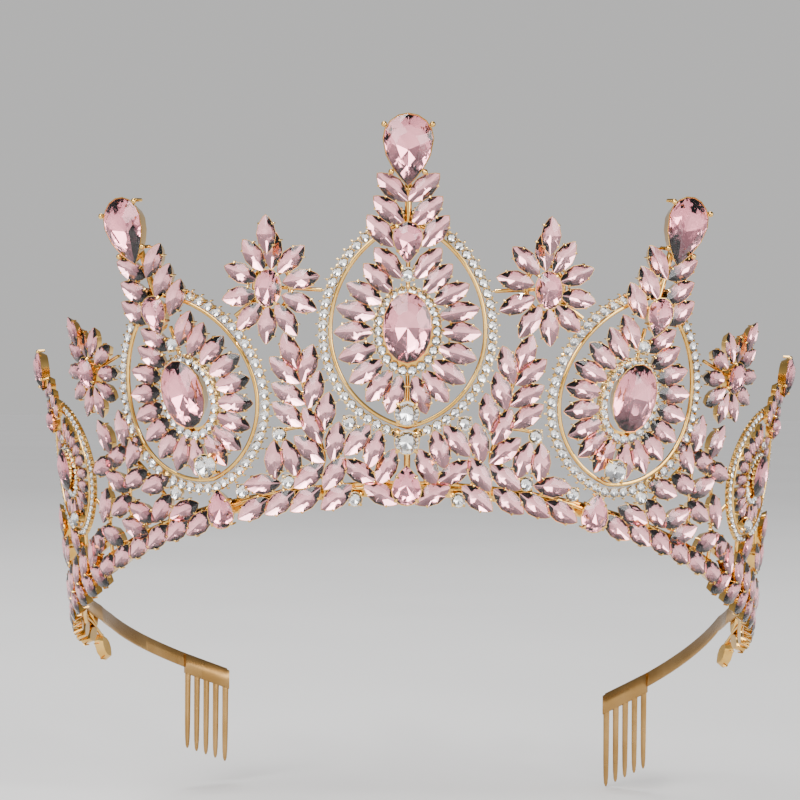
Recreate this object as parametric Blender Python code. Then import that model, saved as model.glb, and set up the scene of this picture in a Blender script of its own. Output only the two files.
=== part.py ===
"""Gilt crown with cut crystals: five ringed medallions with spires, flower heads, leaf sprays and side combs.

The crown is laid out on the unrolled wall: x runs along the wall from the middle of the front, y up the wall
and z out of it. Every piece is modelled there, flat, and then bent round the head by one mapping.
"""
from math import asin, atan2, cos, degrees, hypot, pi, radians, sin

import bmesh
import bpy
import numpy as np
from mathutils import Matrix, Vector

MM = 0.001
GAP = 0.3 * MM
MERGE_ANGLE = radians(0.8)
MERGE_REACH = 11 * MM

# The wall: its plan bends slowly in front, most at the temples, and it leans outward
FRONT_RADIUS = 122 * MM
SIDE_RADIUS = 55 * MM
TURN_LENGTH = 122 * MM
FLARE = 0.12
FRONT_TO_ORIGIN = 60 * MM
OVAL_ABOVE_ORIGIN = 36 * MM

# The lower edge: a parabola that runs on as a straight slope to the tails
EDGE_DROP = 36 * MM
EDGE_CURVE = 350 * MM
EDGE_STRAIGHT_FROM = 75 * MM

# Stones and the metal under them
LEAF_LENGTH = 8.0 * MM
LEAF_WIDTH = 3.5 * MM
LEAF_SHOULDER = 0.18
LEAF_BASE = 0.3 * MM
LEAF_TABLE = 2.9 * MM
LEAF_TABLE_HALF = (1.5 * MM, 0.8 * MM)
STEM_WIDTH = 1.4 * MM
STEM_TOP = 1.0 * MM
STEM_SECTION = [(-0.7, 0.0), (-0.7, 1.0), (0.7, 1.0), (0.7, 0.0)]
LEAF_OFF_VINE = 3.9 * MM
BEAD_RADIUS = 1.55 * MM
BEAD_TABLE = 2.5 * MM
BEAD_TABLE_SHARE = 0.6
BEAD_SIDES = 8
PEAR_FLANK = (0.54, 0.22)
FLOWER_SEAT = (8.0 * MM, 10.0 * MM)
FLOWER_SEAT_TOP = 1.9 * MM
FLOWER_AXES = (7.0 * MM, 8.1 * MM)
FLOWER_PETALS = 10
BASE_PEAR_SEAT = (4.6 * MM, 6.4 * MM)
BASE_PEAR_SEAT_TOP = 1.7 * MM
RAIL_LIFT = 1.0 * MM
RAIL_HEIGHT = 3.2 * MM
RAIL_BACK = -1.5 * MM
RAIL_REACH = 114 * MM
RAIL_STEPS = 28

# The medallion: a pointed hoop round a halo of petals
HOOP_HALF_WIDTH = 15.65 * MM
HOOP_UPPER_RADIUS = 24.2 * MM
HOOP_MIDDLE = -1.4 * MM
HOOP_STEPS = 6
HALO_AXES = (7.2 * MM, 10.2 * MM)
HALO_TOP = 2.1 * MM
HALO_SIDES = 12
KEEL_FROM = -9.0 * MM
KEEL_SHORT_OF_TIP = 1.5 * MM
ROUND_ABOVE_TIP = 3.2 * MM
PETAL_AXES = (10.85 * MM, 12.8 * MM)
PETAL_BELOW = 3.9 * MM
PETAL_FIRST = 50
PETAL_STEP = 18
PETALS_A_SIDE = 8
PETAL_DRAWN_IN = 0.15
HOOP_SECTION = [
    # outward from the wire, out of the wall, in mm
    (-0.45, 0.0), (-0.45, 1.0), (0.7, 1.9), (2.75, 1.9), (2.75, 0.0),
]
HOOP_CLEARANCE = [
    (-0.75, -0.3), (-0.75, 1.2), (0.6, 2.2), (2.85, 2.2), (3.1, -0.3),
]
SPINE = (13.6 * MM, 32.0 * MM)
SPINE_WIDTH = 2.2 * MM
SPIRE_LOW = 2.2 * MM
SPIRE_TOP = 3.2 * MM
DROP_UP = 17.2 * MM
DROP_SEAT = (7.6 * MM, 9.6 * MM)
TOP_PEAR_UP = 35.6 * MM
PEAR_SEAT = (7.6 * MM, 10.8 * MM)
PEAR_SEAT_STEPS = 4
PEAR_SEAT_TOP = 4.1 * MM

# The headband and its combs
BAND_WIDTH = 3.7 * MM
BAND_THICKNESS = 0.8 * MM
BAND_START = 118 * MM
BAND_TURNS_DOWN = 143 * MM
BAND_LEAVES_WALL = 134 * MM
COMB_START = 176 * MM
COMB_END = 188.6 * MM
BAND_SLOPES = {"right": -0.52, "left": -0.38}
BAND_HEIGHTS_AT_COMB = {"right": -85.8 * MM, "left": -82.2 * MM}
BAND_SLOPE_BEHIND_LEAVES = -0.3
BAND_BEHIND_WALL = -1.0 * MM
BAND_STEPS = 12
BAND_SHORT_OF_PLATE = 0.4 * MM
COMB_INSET = -1.2 * MM
COMB_PLATE_HEIGHT = 4.9 * MM
COMB_PLATE_HALF = 0.5 * MM
COMB_PLATE_DROP = 0.3 * MM
TEETH = 5
TOOTH_WIDTH = 1.8 * MM
TOOTH_HALF = 0.4 * MM
TOOTH_PROFILE = [
    # half of its width as a share of the tooth's width, distance below the plate in mm
    (0.5, -1.0), (0.5, 12.0), (0.375, 18.2), (0.2, 19.2),
]

# Motifs, in mm and degrees: place along the wall, height, lean, size, depth of the hoop below its middle
MOTIFS = [
    # name, along, up, lean, size, hoop_depth
    ("centre", 0.0, 0.0, 0.0, 1.0, 20.6),
    ("mid_left", -47.6, -13.9, -16.8, 1.0, 18.8),
    ("mid_right", 47.6, -13.9, 12.6, 1.0, 18.8),
    ("end_left", -92.5, -31.0, -21.5, 0.67, 20.6),
    ("end_right", 92.5, -31.0, 21.5, 0.67, 20.6),
]

# Flower heads on the right of the crown, mirrored to the left
FLOWERS = [
    # name, along, up, lean, size
    ("inner", 28.0, 7.9, -6.0, 0.95),
    ("outer", 76.0, -9.5, 18.0, 0.85),
]

# Leaves on one side, in mm and degrees; lean is counted from the way along the wall
CENTRE_LEAVES = [
    # along, up, lean
    (10.3, -23.2, 130), (6.8, -25.0, 107), (9.9, -29.7, 35), (4.2, -28.6, 116),
    (5.5, -34.2, 30), (14.9, -23.5, 102), (15.2, -30.1, 123), (14.8, -35.0, 141),
]
CENTRE_BEADS = [(11.9, -19.6), (10.9, -35.4)]
CENTRE_LARGE_BEAD = (-24.2, 2.5)
CENTRE_POST = [(0.0, -24.0), (0.0, -33.0)]
CENTRE_STEMS = [
    [(0.0, -33.2), (6.5, -33.2), (13.2, -33.2), (14.6, -27.5), (14.8, -21.0)],
    [(9.0, -33.0), (8.4, -27.0), (11.6, -20.5)],
]
SPRAY_LEAVES = [
    (20.5, -7.6, 108), (24.0, -5.2, 70), (25.3, -9.0, 40), (19.3, -12.9, 108), (24.6, -13.8, 30),
    (16.9, -17.4, 102), (24.8, -18.0, 35), (19.7, -20.3, 64), (20.4, -25.2, 40), (24.4, -27.1, 72),
    (28.1, -27.6, 91), (20.7, -30.7, 142), (31.0, -32.6, 176), (21.5, -35.6, 142), (27.2, -36.4, 143),
    (33.2, -37.8, 148),
]
SPRAY_BEADS = [(26.9, -22.2), (25.2, -32.0), (35.6, -34.2)]
SPRAY_STEMS = [
    [(23.4, -5.0), (20.9, -15.8), (19.2, -21.5), (17.6, -27.6), (20.4, -31.6), (24.4, -33.6)],
    [(19.4, -33.3), (24.4, -33.7), (30.0, -35.0), (35.5, -36.4), (40.6, -38.2)],
    [(19.6, -20.6), (27.4, -22.2), (28.1, -30.0), (29.5, -34.8)],
]
SIDE_LEAVES = [
    (46.4, -41.2, 142), (52.2, -42.5, 140), (58.0, -44.5, 141), (63.9, -46.8, 143), (69.8, -49.2, 144),
    (75.8, -51.6, 147), (50.2, -38.6, 156), (56.2, -38.4, 132), (62.2, -39.4, 25),
    (68.6, -38.2, 150), (64.6, -42.9, 20), (72.8, -44.9, 22), (57.6, -33.2, 160), (63.4, -32.2, 155),
    (69.4, -33.0, 28), (63.4, -26.6, 120), (68.9, -27.6, 150), (74.0, -29.8, 160), (66.4, -21.6, 80),
    (72.6, -23.4, 62), (74.6, -38.4, 110), (78.6, -46.6, 130),
]
SIDE_STEMS = [
    [(43.0, -39.4), (50.0, -41.2), (58.0, -43.8), (66.0, -46.8), (74.0, -50.0), (78.0, -51.6)],
    [(66.4, -46.8), (67.2, -39.5), (66.8, -32.5), (66.8, -22.5)],
    [(55.4, -42.6), (55.4, -37.0), (60.4, -31.5), (66.6, -26.5)],
    [(75.6, -50.4), (75.6, -44.0), (74.4, -36.0), (72.2, -24.0)],
    [(75.0, -41.0), (81.8, -36.9)],
]
TAIL_LEAVES = [
    (91.4, -47.4, 50), (100.7, -49.8, 125), (105.6, -50.0, 62), (105.4, -43.4, 74), (137.2, -75.2, 125),
]
TAIL_STEMS = [
    [(90.0, -55.6), (88.6, -50.0), (88.3, -45.0)],
    [(104.6, -60.8), (103.4, -52.0), (101.6, -40.0)],
    [(103.6, -50.0), (104.8, -46.0)],
]

# The tail's vine, on one side: it carries leaves in pairs along a line of points
TAIL_VINE = [
    (82.6, -52.4), (90.0, -55.6), (98.0, -58.6), (106.0, -61.2), (114.0, -63.8), (122.0, -66.4),
    (130.0, -69.2), (136.4, -73.2),
]
TAIL_PAIRS = 9
TAIL_FIRST_PAIR = 1.0
TAIL_PAIR_STEP = 6.5
TAIL_SPREAD = 46

# Places inside a motif, in mm and degrees from its middle
FIRST_PETAL = (3.9, 12.9, 48)
HALO_BEAD_UP = 10.9
SPIRE_LEAVES = [
    # across, up, lean
    (5.3, 19.2, 50), (3.7, 23.3, 43), (3.0, 27.9, 42),
]
CREST = (1.2, 11.3, 84)
CREST_RAISED = 1.4 * MM
FLOWER_LINKS = [
    # across, up
    (-11.0, 0.5), (8.0, -7.0),
]
BASE_PEARS = [
    # name, along, up, lean
    ("centre", 0.0, -32.0, 0.0), ("right", 40.3, -37.6, 6.0), ("left", -40.3, -37.6, -6.0),
]

# Cuts of the larger stones, in mm; the heights of girdle and table are counted from the wall
STONES = {
    # cut: width, height, steps, girdle's height, table's height, foot's share, table's share
    "oval": (10.0, 14.0, 12, 3.8, 5.4, 0.84, 0.6),
    "drop": (6.0, 8.0, 6, 4.9, 6.1, 0.6, 0.55),
    "top_pear": (10.0, 14.0, 8, 5.6, 7.2, 0.8, 0.55),
    "round": (5.0, 5.0, 8, 4.0, 5.2, 0.25, 0.6),
    "flower": (6.0, 8.0, 10, 3.4, 4.8, 0.8, 0.6),
    "base_pear": (6.0, 8.0, 6, 3.2, 4.4, 0.6, 0.55),
}
PEAR_CUTS = ("drop", "top_pear", "base_pear")

# Finishes: colour, roughness, metallic
GOLD = ((0.78, 0.54, 0.24, 1.0), 0.22, 1.0)
PINK = ((0.90, 0.66, 0.70, 1.0), 0.05, 0.0)
CLEAR = ((0.93, 0.92, 0.92, 1.0), 0.05, 0.0)

PLAN_STEP = 0.5 * MM
PLAN_REACH = 200 * MM


def plan_table():
    """Heading and place of the wall's plan at even steps, summed from its curvature."""
    run = np.arange(0.0, PLAN_REACH + PLAN_STEP, PLAN_STEP)
    swell = np.sin(pi * run / (2 * TURN_LENGTH)) ** 2
    bend = 1 / FRONT_RADIUS + (1 / SIDE_RADIUS - 1 / FRONT_RADIUS) * swell
    heading = np.concatenate([[0.0], np.cumsum((bend[1:] + bend[:-1]) / 2) * PLAN_STEP])
    middle = (heading[1:] + heading[:-1]) / 2
    across = np.concatenate([[0.0], np.cumsum(np.cos(middle)) * PLAN_STEP])
    back = np.concatenate([[0.0], np.cumsum(np.sin(middle)) * PLAN_STEP])
    return run, heading, across, back


PLAN = plan_table()


def bent(along, up, lift):
    """A point at that height and that distance outside the wall's plan, bent round the head."""
    run, heading, across, back = PLAN
    side = 1.0 if along >= 0 else -1.0
    turn = np.interp(abs(along), run, heading)
    x = np.interp(abs(along), run, across) + sin(turn) * lift
    y = np.interp(abs(along), run, back) - cos(turn) * lift
    return Vector((side * x, y - FRONT_TO_ORIGIN, up + OVAL_ABOVE_ORIGIN))


def on_wall(along, up, out):
    """A point of the leaning wall."""
    return bent(along, up, FLARE * up + out)


def on_headband(along, up, out):
    """A point of the headband: behind the leaf work at first, upright and flush with the plan at its comb."""
    share = (abs(along) - BAND_LEAVES_WALL) / (COMB_START - BAND_LEAVES_WALL)
    share = min(max(share, 0.0), 1.0)
    behind = FLARE * up + BAND_BEHIND_WALL
    return bent(along, up, behind * (1 - share) + COMB_INSET * share + out)


def edge_height(along):
    """Height of the crown's lower edge."""
    far = abs(along)
    near = min(far, EDGE_STRAIGHT_FROM)
    return -EDGE_DROP - near ** 2 / EDGE_CURVE - 2 * near / EDGE_CURVE * (far - near)


def material(name, colour, roughness, metallic):
    """One plain material for a node."""
    made = bpy.data.materials.new(name)
    made.use_nodes = True
    shader = made.node_tree.nodes["Principled BSDF"]
    shader.inputs["Base Color"].default_value = colour
    shader.inputs["Roughness"].default_value = roughness
    shader.inputs["Metallic"].default_value = metallic
    return made


def placed(along, up, lean=0.0, size=1.0):
    """The frame of a motif on the unrolled wall, in mm; a positive lean tips its top to the right."""
    return (Matrix.Translation((along * MM, up * MM, 0.0))
            @ Matrix.Rotation(-radians(lean), 4, "Z") @ Matrix.Scale(size, 4))


def spot(x, y, turn=0.0, out=0.0):
    """A place inside a motif, turned by an angle and raised off the wall."""
    return Matrix.Translation((x, y, out)) @ Matrix.Rotation(turn, 4, "Z")


def outline_leaf(length=LEAF_LENGTH, width=LEAF_WIDTH):
    """Six points of a pointed leaf, tips along x."""
    tip, shoulder, half = length / 2, length * LEAF_SHOULDER, width / 2
    upper = [(tip, 0.0), (shoulder, half), (-shoulder, half)]
    return upper + [(-x, -y) for x, y in upper]


def outline_oval(wide, high, sides):
    """An oval of that many sides."""
    return [(wide / 2 * cos(2 * pi * i / sides), high / 2 * sin(2 * pi * i / sides)) for i in range(sides)]


def outline_pear(wide, high, arc_sides):
    """A pear with its round end up and its point down, its middle at half height."""
    radius = wide / 2
    centre = high / 2 - radius
    dip = asin(radius / (high - radius))
    points = []
    for i in range(arc_sides + 1):
        angle = (pi + 2 * dip) * i / arc_sides - dip
        points.append((radius * cos(angle), centre + radius * sin(angle)))
    flank = (radius * PEAR_FLANK[0], -high * PEAR_FLANK[1])
    return points + [(-flank[0], flank[1]), (0.0, -high / 2), flank]


def cut_stone(outline, base, girdle, table, base_share, table_share):
    """A cut stone: the hull of its foot, its girdle and a table turned by half a facet."""
    shape = bmesh.new()
    count = len(outline)
    for height, share in ((base, base_share), (girdle, 1.0)):
        for x, y in outline:
            shape.verts.new((x * share, y * share, height))
    for i in range(count):
        x = (outline[i][0] + outline[(i + 1) % count][0]) / 2
        y = (outline[i][1] + outline[(i + 1) % count][1]) / 2
        shape.verts.new((x * table_share, y * table_share, table))
    return hulled(shape)


def hulled(shape):
    """The shape's convex hull, in its place."""
    hull = bmesh.ops.convex_hull(shape, input=shape.verts)
    spare = [item for item in hull["geom_interior"] if isinstance(item, bmesh.types.BMVert)]
    bmesh.ops.delete(shape, geom=spare, context="VERTS")
    return shape


def stone(cut, seat_top):
    """A stone of that cut, just clear of its seat."""
    wide, high, steps, girdle, table, foot_share, table_share = STONES[cut]
    outline = outline_pear if cut in PEAR_CUTS else outline_oval
    around = outline(wide * MM, high * MM, steps)
    return cut_stone(around, seat_top + GAP, girdle * MM, table * MM, foot_share, table_share)


def plate(outline, low, high):
    """A flat plate with a convex outline."""
    shape = bmesh.new()
    for height in (low, high):
        for x, y in outline:
            shape.verts.new((x, y, height))
    return hulled(shape)


def moved(shape, matrix):
    """The shape, moved by a matrix; a matrix that mirrors leaves its faces pointing out."""
    bmesh.ops.transform(shape, matrix=matrix, verts=shape.verts)
    if matrix.determinant() < 0:
        bmesh.ops.reverse_faces(shape, faces=shape.faces)
    return shape


def studded(outline, table_outline, table):
    """A small stone in its setting: the hull of its girdle and its table."""
    shape = bmesh.new()
    for x, y in outline:
        shape.verts.new((x, y, LEAF_BASE))
    for x, y in table_outline:
        shape.verts.new((x, y, table))
    return hulled(shape)


def leaf():
    """A pointed stone in its setting, its tips along x."""
    along, half = LEAF_TABLE_HALF
    table = [(along, half), (-along, half), (-along, -half), (along, -half)]
    return studded(outline_leaf(), table, LEAF_TABLE)


def bead(radius=BEAD_RADIUS):
    """A small round stone in its setting."""
    wide = 2 * radius
    table = outline_oval(wide * BEAD_TABLE_SHARE, wide * BEAD_TABLE_SHARE, BEAD_SIDES)
    return studded(outline_oval(wide, wide, BEAD_SIDES), table, BEAD_TABLE)


def bar(start, end, width=STEM_WIDTH, low=0.0, high=STEM_TOP):
    """A straight stem from one point to another, half its width longer at each end."""
    length = hypot(end[0] - start[0], end[1] - start[1]) + width
    middle = Vector(((start[0] + end[0]) / 2, (start[1] + end[1]) / 2, (low + high) / 2))
    turn = Matrix.Rotation(atan2(end[1] - start[1], end[0] - start[0]), 4, "Z")
    shape = bmesh.new()
    bmesh.ops.create_cube(shape, size=1.0)
    stretched = Matrix.Diagonal((length, width, high - low, 1.0))
    return moved(shape, Matrix.Translation(middle) @ turn @ stretched)


def faced_out(shape):
    """The closed shape with its faces pointing out."""
    if shape.calc_volume(signed=True) < 0:
        bmesh.ops.reverse_faces(shape, faces=shape.faces)
    return shape


def ribbon(start, end, steps, low_edge, high_edge, back, front):
    """A band along the wall between two edges that are functions of the place, in short straight steps."""
    shape = bmesh.new()
    bmesh.ops.create_grid(shape, x_segments=steps, y_segments=1, size=1.0)
    for vert in shape.verts:
        along = start + (end - start) * (vert.co.x + 1) / 2
        edge = high_edge if vert.co.y > 0 else low_edge
        vert.co = (along, edge(along), 0.0)
    bmesh.ops.solidify(shape, geom=shape.faces[:], thickness=1 * MM)
    for vert in shape.verts:
        vert.co.z = back if abs(vert.co.z) < 0.5 * MM else front
    return faced_out(shape)


def flat_curve(name, points, closed=True):
    """A flat curve through points, kept out of the crown."""
    curve = bpy.data.curves.new(name, "CURVE")
    curve.dimensions = "2D"
    curve.fill_mode = "NONE"
    line = curve.splines.new("POLY")
    line.points.add(len(points) - 1)
    for point, (x, y) in zip(line.points, points):
        point.co = (x, y, 0.0, 1.0)
    line.use_cyclic_u = closed
    guide = bpy.data.objects.new(name, curve)
    GUIDES.objects.link(guide)
    return guide


def swept(points, section, closed=True):
    """A wire through points; its section is given outward from the points and out of the wall, in mm."""
    wire = flat_curve("wire", points, closed)
    profile = flat_curve("profile", [(-outward * MM, out * MM) for outward, out in section])
    wire.data.bevel_mode = "OBJECT"
    wire.data.bevel_object = profile
    view = bpy.context.evaluated_depsgraph_get()
    mesh = bpy.data.meshes.new_from_object(wire.evaluated_get(view))
    shape = bmesh.new()
    shape.from_mesh(mesh)
    bmesh.ops.holes_fill(shape, edges=shape.edges[:], sides=len(section))
    bmesh.ops.recalc_face_normals(shape, faces=shape.faces)
    bpy.data.meshes.remove(mesh)
    bpy.data.objects.remove(wire)
    bpy.data.objects.remove(profile)
    return faced_out(shape)


def guide_of(name, shapes):
    """One hidden object of several closed shapes, for a Boolean."""
    whole = bmesh.new()
    for shape in shapes:
        piece = bpy.data.meshes.new("piece")
        shape.to_mesh(piece)
        shape.free()
        whole.from_mesh(piece)
        bpy.data.meshes.remove(piece)
    joined = bpy.data.meshes.new(name)
    whole.to_mesh(joined)
    whole.free()
    guide = bpy.data.objects.new(name, joined)
    guide.hide_render = True
    guide.display_type = "WIRE"
    GUIDES.objects.link(guide)
    return guide


def fused(name, shapes, clearances):
    """The union of closed shapes, cut back from its neighbours' clearances, as one mesh."""
    guides = [guide_of("first", shapes[:1])]
    jobs = [("UNION", shapes[1:])] + [("DIFFERENCE", [clearance]) for clearance in clearances]
    for operation, others in jobs:
        if others:
            guides.append(guide_of("other", others))
            join = guides[0].modifiers.new("join", "BOOLEAN")
            join.operation = operation
            join.object = guides[-1]
            join.use_self = operation == "UNION"
    view = bpy.context.evaluated_depsgraph_get()
    result = bpy.data.meshes.new_from_object(guides[0].evaluated_get(view))
    result.name = name
    for guide in guides:
        bpy.data.objects.remove(guide)
    return result


def reach_along(edge):
    """How far the faces beside an edge reach along the wall."""
    places = [vert.co.x for face in edge.link_faces for vert in face.verts]
    return max(places) - min(places)


def add_node(name, shapes, finish, clearances=(), bend=on_wall):
    """Fuse flat shapes, bend them round the head and add them as one object, its origin at its middle."""
    joined = len(shapes) > 1
    mesh = fused(name, shapes, clearances)
    work = bmesh.new()
    work.from_mesh(mesh)
    if joined:
        short = [edge for edge in work.edges if reach_along(edge) < MERGE_REACH]
        bmesh.ops.dissolve_limit(work, angle_limit=MERGE_ANGLE, verts=work.verts, edges=short)
    bmesh.ops.triangulate(work, faces=work.faces)
    for vert in work.verts:
        vert.co = bend(*vert.co)
    work.to_mesh(mesh)
    work.free()
    middle = sum((vert.co for vert in mesh.vertices), Vector()) / len(mesh.vertices)
    mesh.transform(Matrix.Translation(-middle))
    node = bpy.data.objects.new(name, mesh)
    node.location = middle
    mesh.materials.clear()
    mesh.materials.append(material(name + "_finish", *finish))
    CROWN.objects.link(node)


def hoop_path(depth):
    """The hoop's wire: four arcs, pointed at the top and at the bottom."""
    high_centre = HOOP_HALF_WIDTH - HOOP_UPPER_RADIUS
    fall = depth + HOOP_MIDDLE
    low_radius = (HOOP_HALF_WIDTH ** 2 + fall ** 2) / (2 * HOOP_HALF_WIDTH)
    low_centre = HOOP_HALF_WIDTH - low_radius
    top = atan2((HOOP_UPPER_RADIUS ** 2 - high_centre ** 2) ** 0.5, -high_centre)
    bottom = atan2(fall, -low_centre)
    half = []
    for i in range(HOOP_STEPS):
        angle = bottom * (i / HOOP_STEPS - 1)
        half.append((low_centre + low_radius * cos(angle), HOOP_MIDDLE + low_radius * sin(angle)))
    for i in range(HOOP_STEPS + 1):
        angle = top * i / HOOP_STEPS
        x = high_centre + HOOP_UPPER_RADIUS * cos(angle)
        half.append((x, HOOP_MIDDLE + HOOP_UPPER_RADIUS * sin(angle)))
    return half + [(-x, y) for x, y in reversed(half[1:-1])]


def hoop(motif, section):
    """The wire hoop of a motif with that section, in its place on the unrolled wall."""
    name, along, up, lean, size, depth = motif
    return moved(swept(hoop_path(depth * MM), section), placed(along, up, lean, size))


def petal_places(depth):
    """Middle and lean of each petal on the right half of a medallion whose hoop is that deep."""
    places = [(FIRST_PETAL[0] * MM, FIRST_PETAL[1] * MM, radians(FIRST_PETAL[2]))]
    for i in range(PETALS_A_SIDE):
        angle = radians(PETAL_FIRST - PETAL_STEP * i)
        wide, high = PETAL_AXES
        if angle <= 0:
            high = depth * MM / 2 + PETAL_BELOW
        drawn = 1 - PETAL_DRAWN_IN * (max(angle, 0.0) / radians(PETAL_FIRST)) ** 2
        lean = atan2(sin(angle) / high, cos(angle) / wide)
        places.append((wide * cos(angle) * drawn, high * sin(angle), lean))
    return places


def pairs_of_leaves(places, frame, out=0.0):
    """Leaves at places on the right of a motif's axis and their mirror images on the left."""
    shapes = []
    for x, y, lean in places:
        shapes.append(moved(leaf(), frame @ spot(x, y, lean, out)))
        shapes.append(moved(leaf(), frame @ spot(-x, y, pi - lean, out)))
    return shapes


def build_motif(motif):
    """One ringed medallion with its spire and its separate stones."""
    name, along, up, lean, size, depth = motif
    frame = placed(along, up, lean, size)
    low = -depth * MM
    add_node("hoop_" + name, [hoop(motif, HOOP_SECTION)], GOLD)

    halo = plate(outline_oval(2 * HALO_AXES[0], 2 * HALO_AXES[1], HALO_SIDES), 0.0, HALO_TOP)
    keel = bar((0.0, KEEL_FROM), (0.0, low + KEEL_SHORT_OF_TIP))
    petals = [moved(shape, frame) for shape in (halo, keel)]
    petals += pairs_of_leaves(petal_places(depth), frame)
    petals.append(moved(bead(), frame @ spot(0.0, HALO_BEAD_UP * MM)))
    add_node("petals_" + name, petals, PINK)
    add_node("oval_" + name, [moved(stone("oval", HALO_TOP), frame)], PINK)

    at_drop = frame @ spot(0.0, DROP_UP)
    at_pear = frame @ spot(0.0, TOP_PEAR_UP)
    at_round = frame @ spot(0.0, low + ROUND_ABOVE_TIP)
    spine = bar((0.0, SPINE[0]), (0.0, SPINE[1]), SPINE_WIDTH, SPIRE_LOW, SPIRE_TOP)
    pear_seat = plate(outline_pear(*PEAR_SEAT, PEAR_SEAT_STEPS), SPIRE_LOW + GAP, PEAR_SEAT_TOP)
    drop_seat = plate(outline_pear(*DROP_SEAT, PEAR_SEAT_STEPS), SPIRE_LOW - GAP / 2, SPIRE_TOP)
    spire = [moved(spine, frame), moved(pear_seat, at_pear), moved(drop_seat, at_drop)]
    leaves = [(x * MM, y * MM, radians(turn)) for x, y, turn in SPIRE_LEAVES]
    spire += pairs_of_leaves(leaves, frame, SPIRE_LOW - GAP)
    add_node("spire_" + name, spire, PINK)

    add_node("spire_stone_" + name, [moved(stone("drop", SPIRE_TOP), at_drop)], PINK)
    add_node("top_pear_" + name, [moved(stone("top_pear", PEAR_SEAT_TOP), at_pear)], PINK)
    add_node("round_" + name, [moved(stone("round", STEM_TOP), at_round)], CLEAR)


def build_flower(name, along, up, lean, size, side, clearances):
    """A flower head of ten petals and one taller petal round an oval stone, on stems to its neighbours."""
    frame = Matrix.Diagonal((side, 1.0, 1.0, 1.0)) @ placed(along, up, lean, size)
    shapes = [plate(outline_oval(*FLOWER_SEAT, FLOWER_PETALS), 0.0, FLOWER_SEAT_TOP)]
    wide, high = FLOWER_AXES
    for i in range(FLOWER_PETALS):
        turn = 2 * pi * (i + 0.5) / FLOWER_PETALS
        lies = atan2(sin(turn) / high, cos(turn) / wide)
        shapes.append(moved(leaf(), spot(wide * cos(turn), high * sin(turn), lies)))
    shapes.append(moved(leaf(), spot(CREST[0] * MM, CREST[1] * MM, radians(CREST[2]), CREST_RAISED)))
    for end in FLOWER_LINKS:
        shapes.append(bar((0.0, 0.0), (end[0] * MM, end[1] * MM)))
    label = name + ("_right" if side > 0 else "_left")
    add_node("flower_" + label, [moved(shape, frame) for shape in shapes], PINK, clearances)
    add_node("flower_stone_" + label, [moved(stone("flower", FLOWER_SEAT_TOP), frame)], PINK)


def leaf_rows(rows, side):
    """Leaves from rows of along, up and lean on the right, in mm and degrees, or mirrored to the left."""
    mirror = Matrix.Diagonal((side, 1.0, 1.0, 1.0))
    return [moved(leaf(), mirror @ spot(x * MM, y * MM, radians(lean))) for x, y, lean in rows]


def beads(rows, side):
    """Small round stones from rows of along and up."""
    return [moved(bead(), spot(side * x * MM, y * MM)) for x, y in rows]


def stems(lines, side):
    """Stems through lines of points."""
    return [swept([(side * x * MM, y * MM) for x, y in line], STEM_SECTION, False) for line in lines]


def vine_leaves(points, pairs, spread):
    """Rows for leaves in pairs along a line of points, their outer tips towards the line's start."""
    rows = []
    runs = [hypot(b[0] - a[0], b[1] - a[1]) for a, b in zip(points, points[1:])]
    for k in range(pairs):
        far = TAIL_FIRST_PAIR + TAIL_PAIR_STEP * k
        i = 0
        while far > runs[i]:
            far -= runs[i]
            i += 1
        (x0, y0), (x1, y1) = points[i], points[i + 1]
        x = x0 + (x1 - x0) * far / runs[i]
        y = y0 + (y1 - y0) * far / runs[i]
        for hand in (1, -1):
            turn = atan2(y0 - y1, x0 - x1) + hand * radians(spread)
            rows.append((x + LEAF_OFF_VINE * cos(turn), y + LEAF_OFF_VINE * sin(turn), degrees(turn)))
    return rows


def base_pear_frames():
    """Each pear stone of the lower edge: its name and its frame."""
    return {name: placed(along, up, lean) for name, along, up, lean in BASE_PEARS}


def base_pear_seat(name):
    """The plate under a pear stone of the lower edge."""
    seat = plate(outline_oval(*BASE_PEAR_SEAT, BEAD_SIDES), 0.0, BASE_PEAR_SEAT_TOP)
    return moved(seat, base_pear_frames()[name])


def build_leaf_work(clearances):
    """The leaf work between and beyond the medallions."""
    bead_up, bead_radius = CENTRE_LARGE_BEAD
    post = [(x * MM, y * MM) for x, y in CENTRE_POST]
    shapes = [base_pear_seat("centre"), moved(bead(bead_radius * MM), spot(0.0, bead_up * MM)), bar(*post)]
    for side in (1, -1):
        shapes += stems(CENTRE_STEMS, side) + leaf_rows(CENTRE_LEAVES, side) + beads(CENTRE_BEADS, side)
    add_node("leaves_centre", shapes, PINK, clearances("centre", "mid_left", "mid_right"))
    for side, hand in ((1, "right"), (-1, "left")):
        mid, end = "mid_" + hand, "end_" + hand
        shapes = stems(SPRAY_STEMS, side) + leaf_rows(SPRAY_LEAVES, side) + beads(SPRAY_BEADS, side)
        shapes.append(base_pear_seat(hand))
        add_node("spray_" + hand, shapes, PINK, clearances("centre", mid))
        shapes = stems(SIDE_STEMS, side) + leaf_rows(SIDE_LEAVES, side)
        add_node("leaves_side_" + hand, shapes, PINK, clearances(mid, end))
        shapes = stems(TAIL_STEMS + [TAIL_VINE], side) + leaf_rows(TAIL_LEAVES, side)
        shapes += leaf_rows(vine_leaves(TAIL_VINE, TAIL_PAIRS, TAIL_SPREAD), side)
        add_node("leaves_tail_" + hand, shapes, PINK, clearances(end))


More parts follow.
